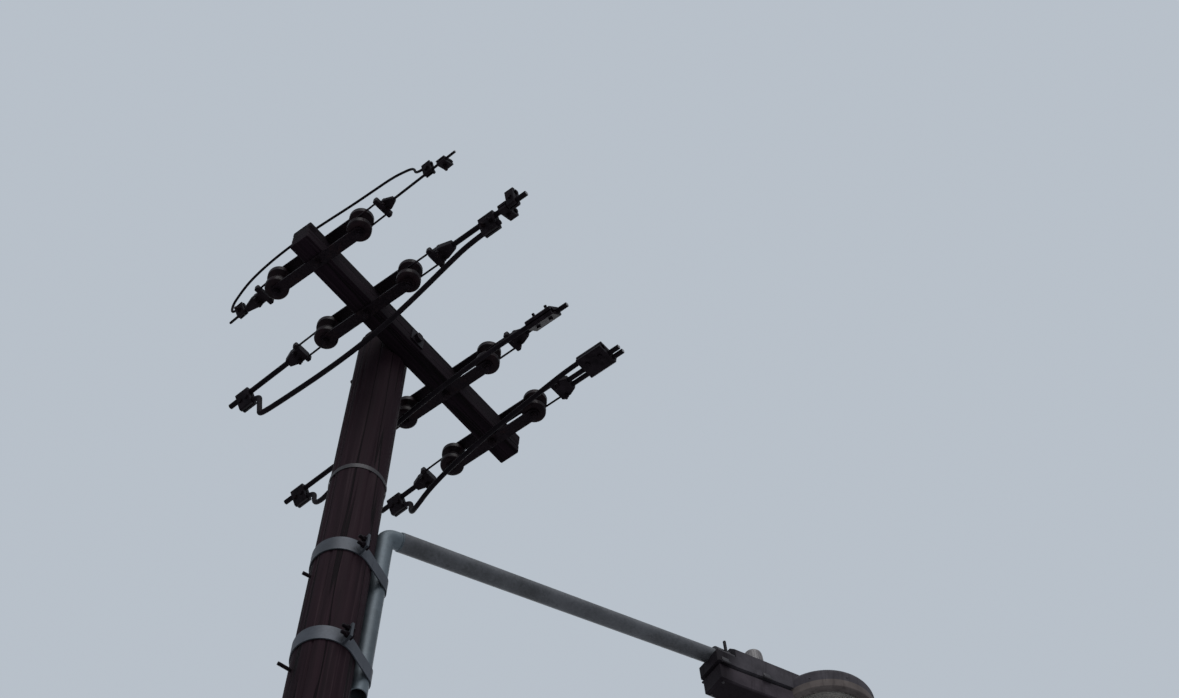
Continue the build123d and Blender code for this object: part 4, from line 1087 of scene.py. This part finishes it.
def route_point(x, y, z):
    """A point of a jumper's route in metres, in the model's frame."""
    return (x / 1000, y / 1000, ARM_Z + z / 1000)


def jumper_cables(finish):
    """The four insulated tails, each a smooth line through its route."""
    for number, (radius, length, route) in enumerate(JUMPERS, 1):
        curve = bpy.data.curves.new(f"jumper_cable_{number}", "CURVE")
        curve.dimensions = "3D"
        curve.bevel_depth = radius
        curve.bevel_resolution = 5
        curve.resolution_u = 10
        curve.use_fill_caps = True
        spline = curve.splines.new("NURBS")
        spline.points.add(len(route) - 1)
        for point, spot in zip(spline.points, route):
            point.co = (*route_point(*spot), 1.0)
        spline.order_u = 3
        spline.use_endpoint_u = True
        curve.materials.append(finish)
        cable = add_object(f"jumper_cable_{number}", curve)
        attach(cable, "root")
        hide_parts(f"jumper_{number}")
        route_point(*route[0])
        2 * radius


def dress(finish, *nodes):
    """Gives CAD nodes that stay in view their finish."""
    for node in nodes:
        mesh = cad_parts[node].data
        mesh.materials.clear()
        mesh.materials.append(finish)


photo_camera()
studio_world()
suns()
pale_floor()
bpy.context.scene.view_settings.view_transform = "Standard"

black_cover = cable_cover()
jumper_cables(black_cover)
dress(black_cover, "conductor_ends")
timber_pole(pole_timber())
timber_arm(arm_timber())
insulators(brown_porcelain())

steel = old_steel()
set_bolt_threads(steel)
clamp_and_jaw_threads(steel)
dress(steel, "crossarm_bolt", "strap_bolts", "insulator_bolts", "bails", "pole_pegs")
dress(steel, "clamp_bolts", "connector_bolts", "band_bolts")
dress(steel, *[f"shackle_straps_{n}" for n in (1, 2, 3, 4)])
cut_ends(bare_strand())
alloy = cast_alloy()
dress(alloy, "connector_jaws")
for word in ("front", "back"):
    dress(alloy, *[f"dead_end_clamp_{word}_{n}" for n in (1, 2, 3, 4)])

# Painted sky light: the bracket's tail and weld get the arm's zinc made paler and bluer
sky_lit_pipe_zinc = galvanised(
    "sky_lit_pipe_zinc", dark=(0.050, 0.064, 0.075), pale=(0.100, 0.125, 0.146), stain=(0.028, 0.034, 0.038)
)
arm_zinc = galvanised(
    "arm_zinc", dark=(0.036, 0.038, 0.042), pale=(0.096, 0.100, 0.112), stain=(0.020, 0.020, 0.022)
)
band_zinc = galvanised(
    "band_zinc", dark=(0.024, 0.028, 0.036), pale=(0.051, 0.058, 0.074), stain=(0.014, 0.015, 0.018),
    rust=0.15,
)
strap_zinc = galvanised(
    "strap_zinc", dark=(0.014, 0.012, 0.0145), pale=(0.034, 0.030, 0.035), stain=(0.010, 0.008, 0.010),
    rust=0.2,
)
dress(sky_lit_pipe_zinc, "bracket_tail")
dress(arm_zinc, "bracket_arm")
dress(band_zinc, "pole_band_upper", "pole_band_lower", "pipe_strap_upper", "pipe_strap_lower")
dress(strap_zinc, "thin_strap", "lantern_saddle", "lantern_saddle_studs")

dress(chalky_paint("lantern_paint", (0.030, 0.028, 0.034), (0.063, 0.059, 0.069)), "lantern_housing")
dress(chalky_paint("cover_paint", (0.027, 0.022, 0.028), (0.056, 0.047, 0.057)), "lantern_gear_cover")
dress(chalky_paint("ring_paint", (0.066, 0.056, 0.055), (0.118, 0.102, 0.099)), "lantern_ring")
sensor_cap = sensor_plastic()
dress(sensor_cap, "lantern_photocell")
sensor_ribs(sensor_cap)
clear_bowl(lamp_glass())
elbow_weld(sky_lit_pipe_zinc)
band_bolt_threads(steel)
stud_threads(strap_zinc)
lantern_trim(strap_zinc)
dress(spun_reflector(), "lantern_reflector")
dress(white_glaze(), "lampholder")
dress(coated_lamp(), "lamp")
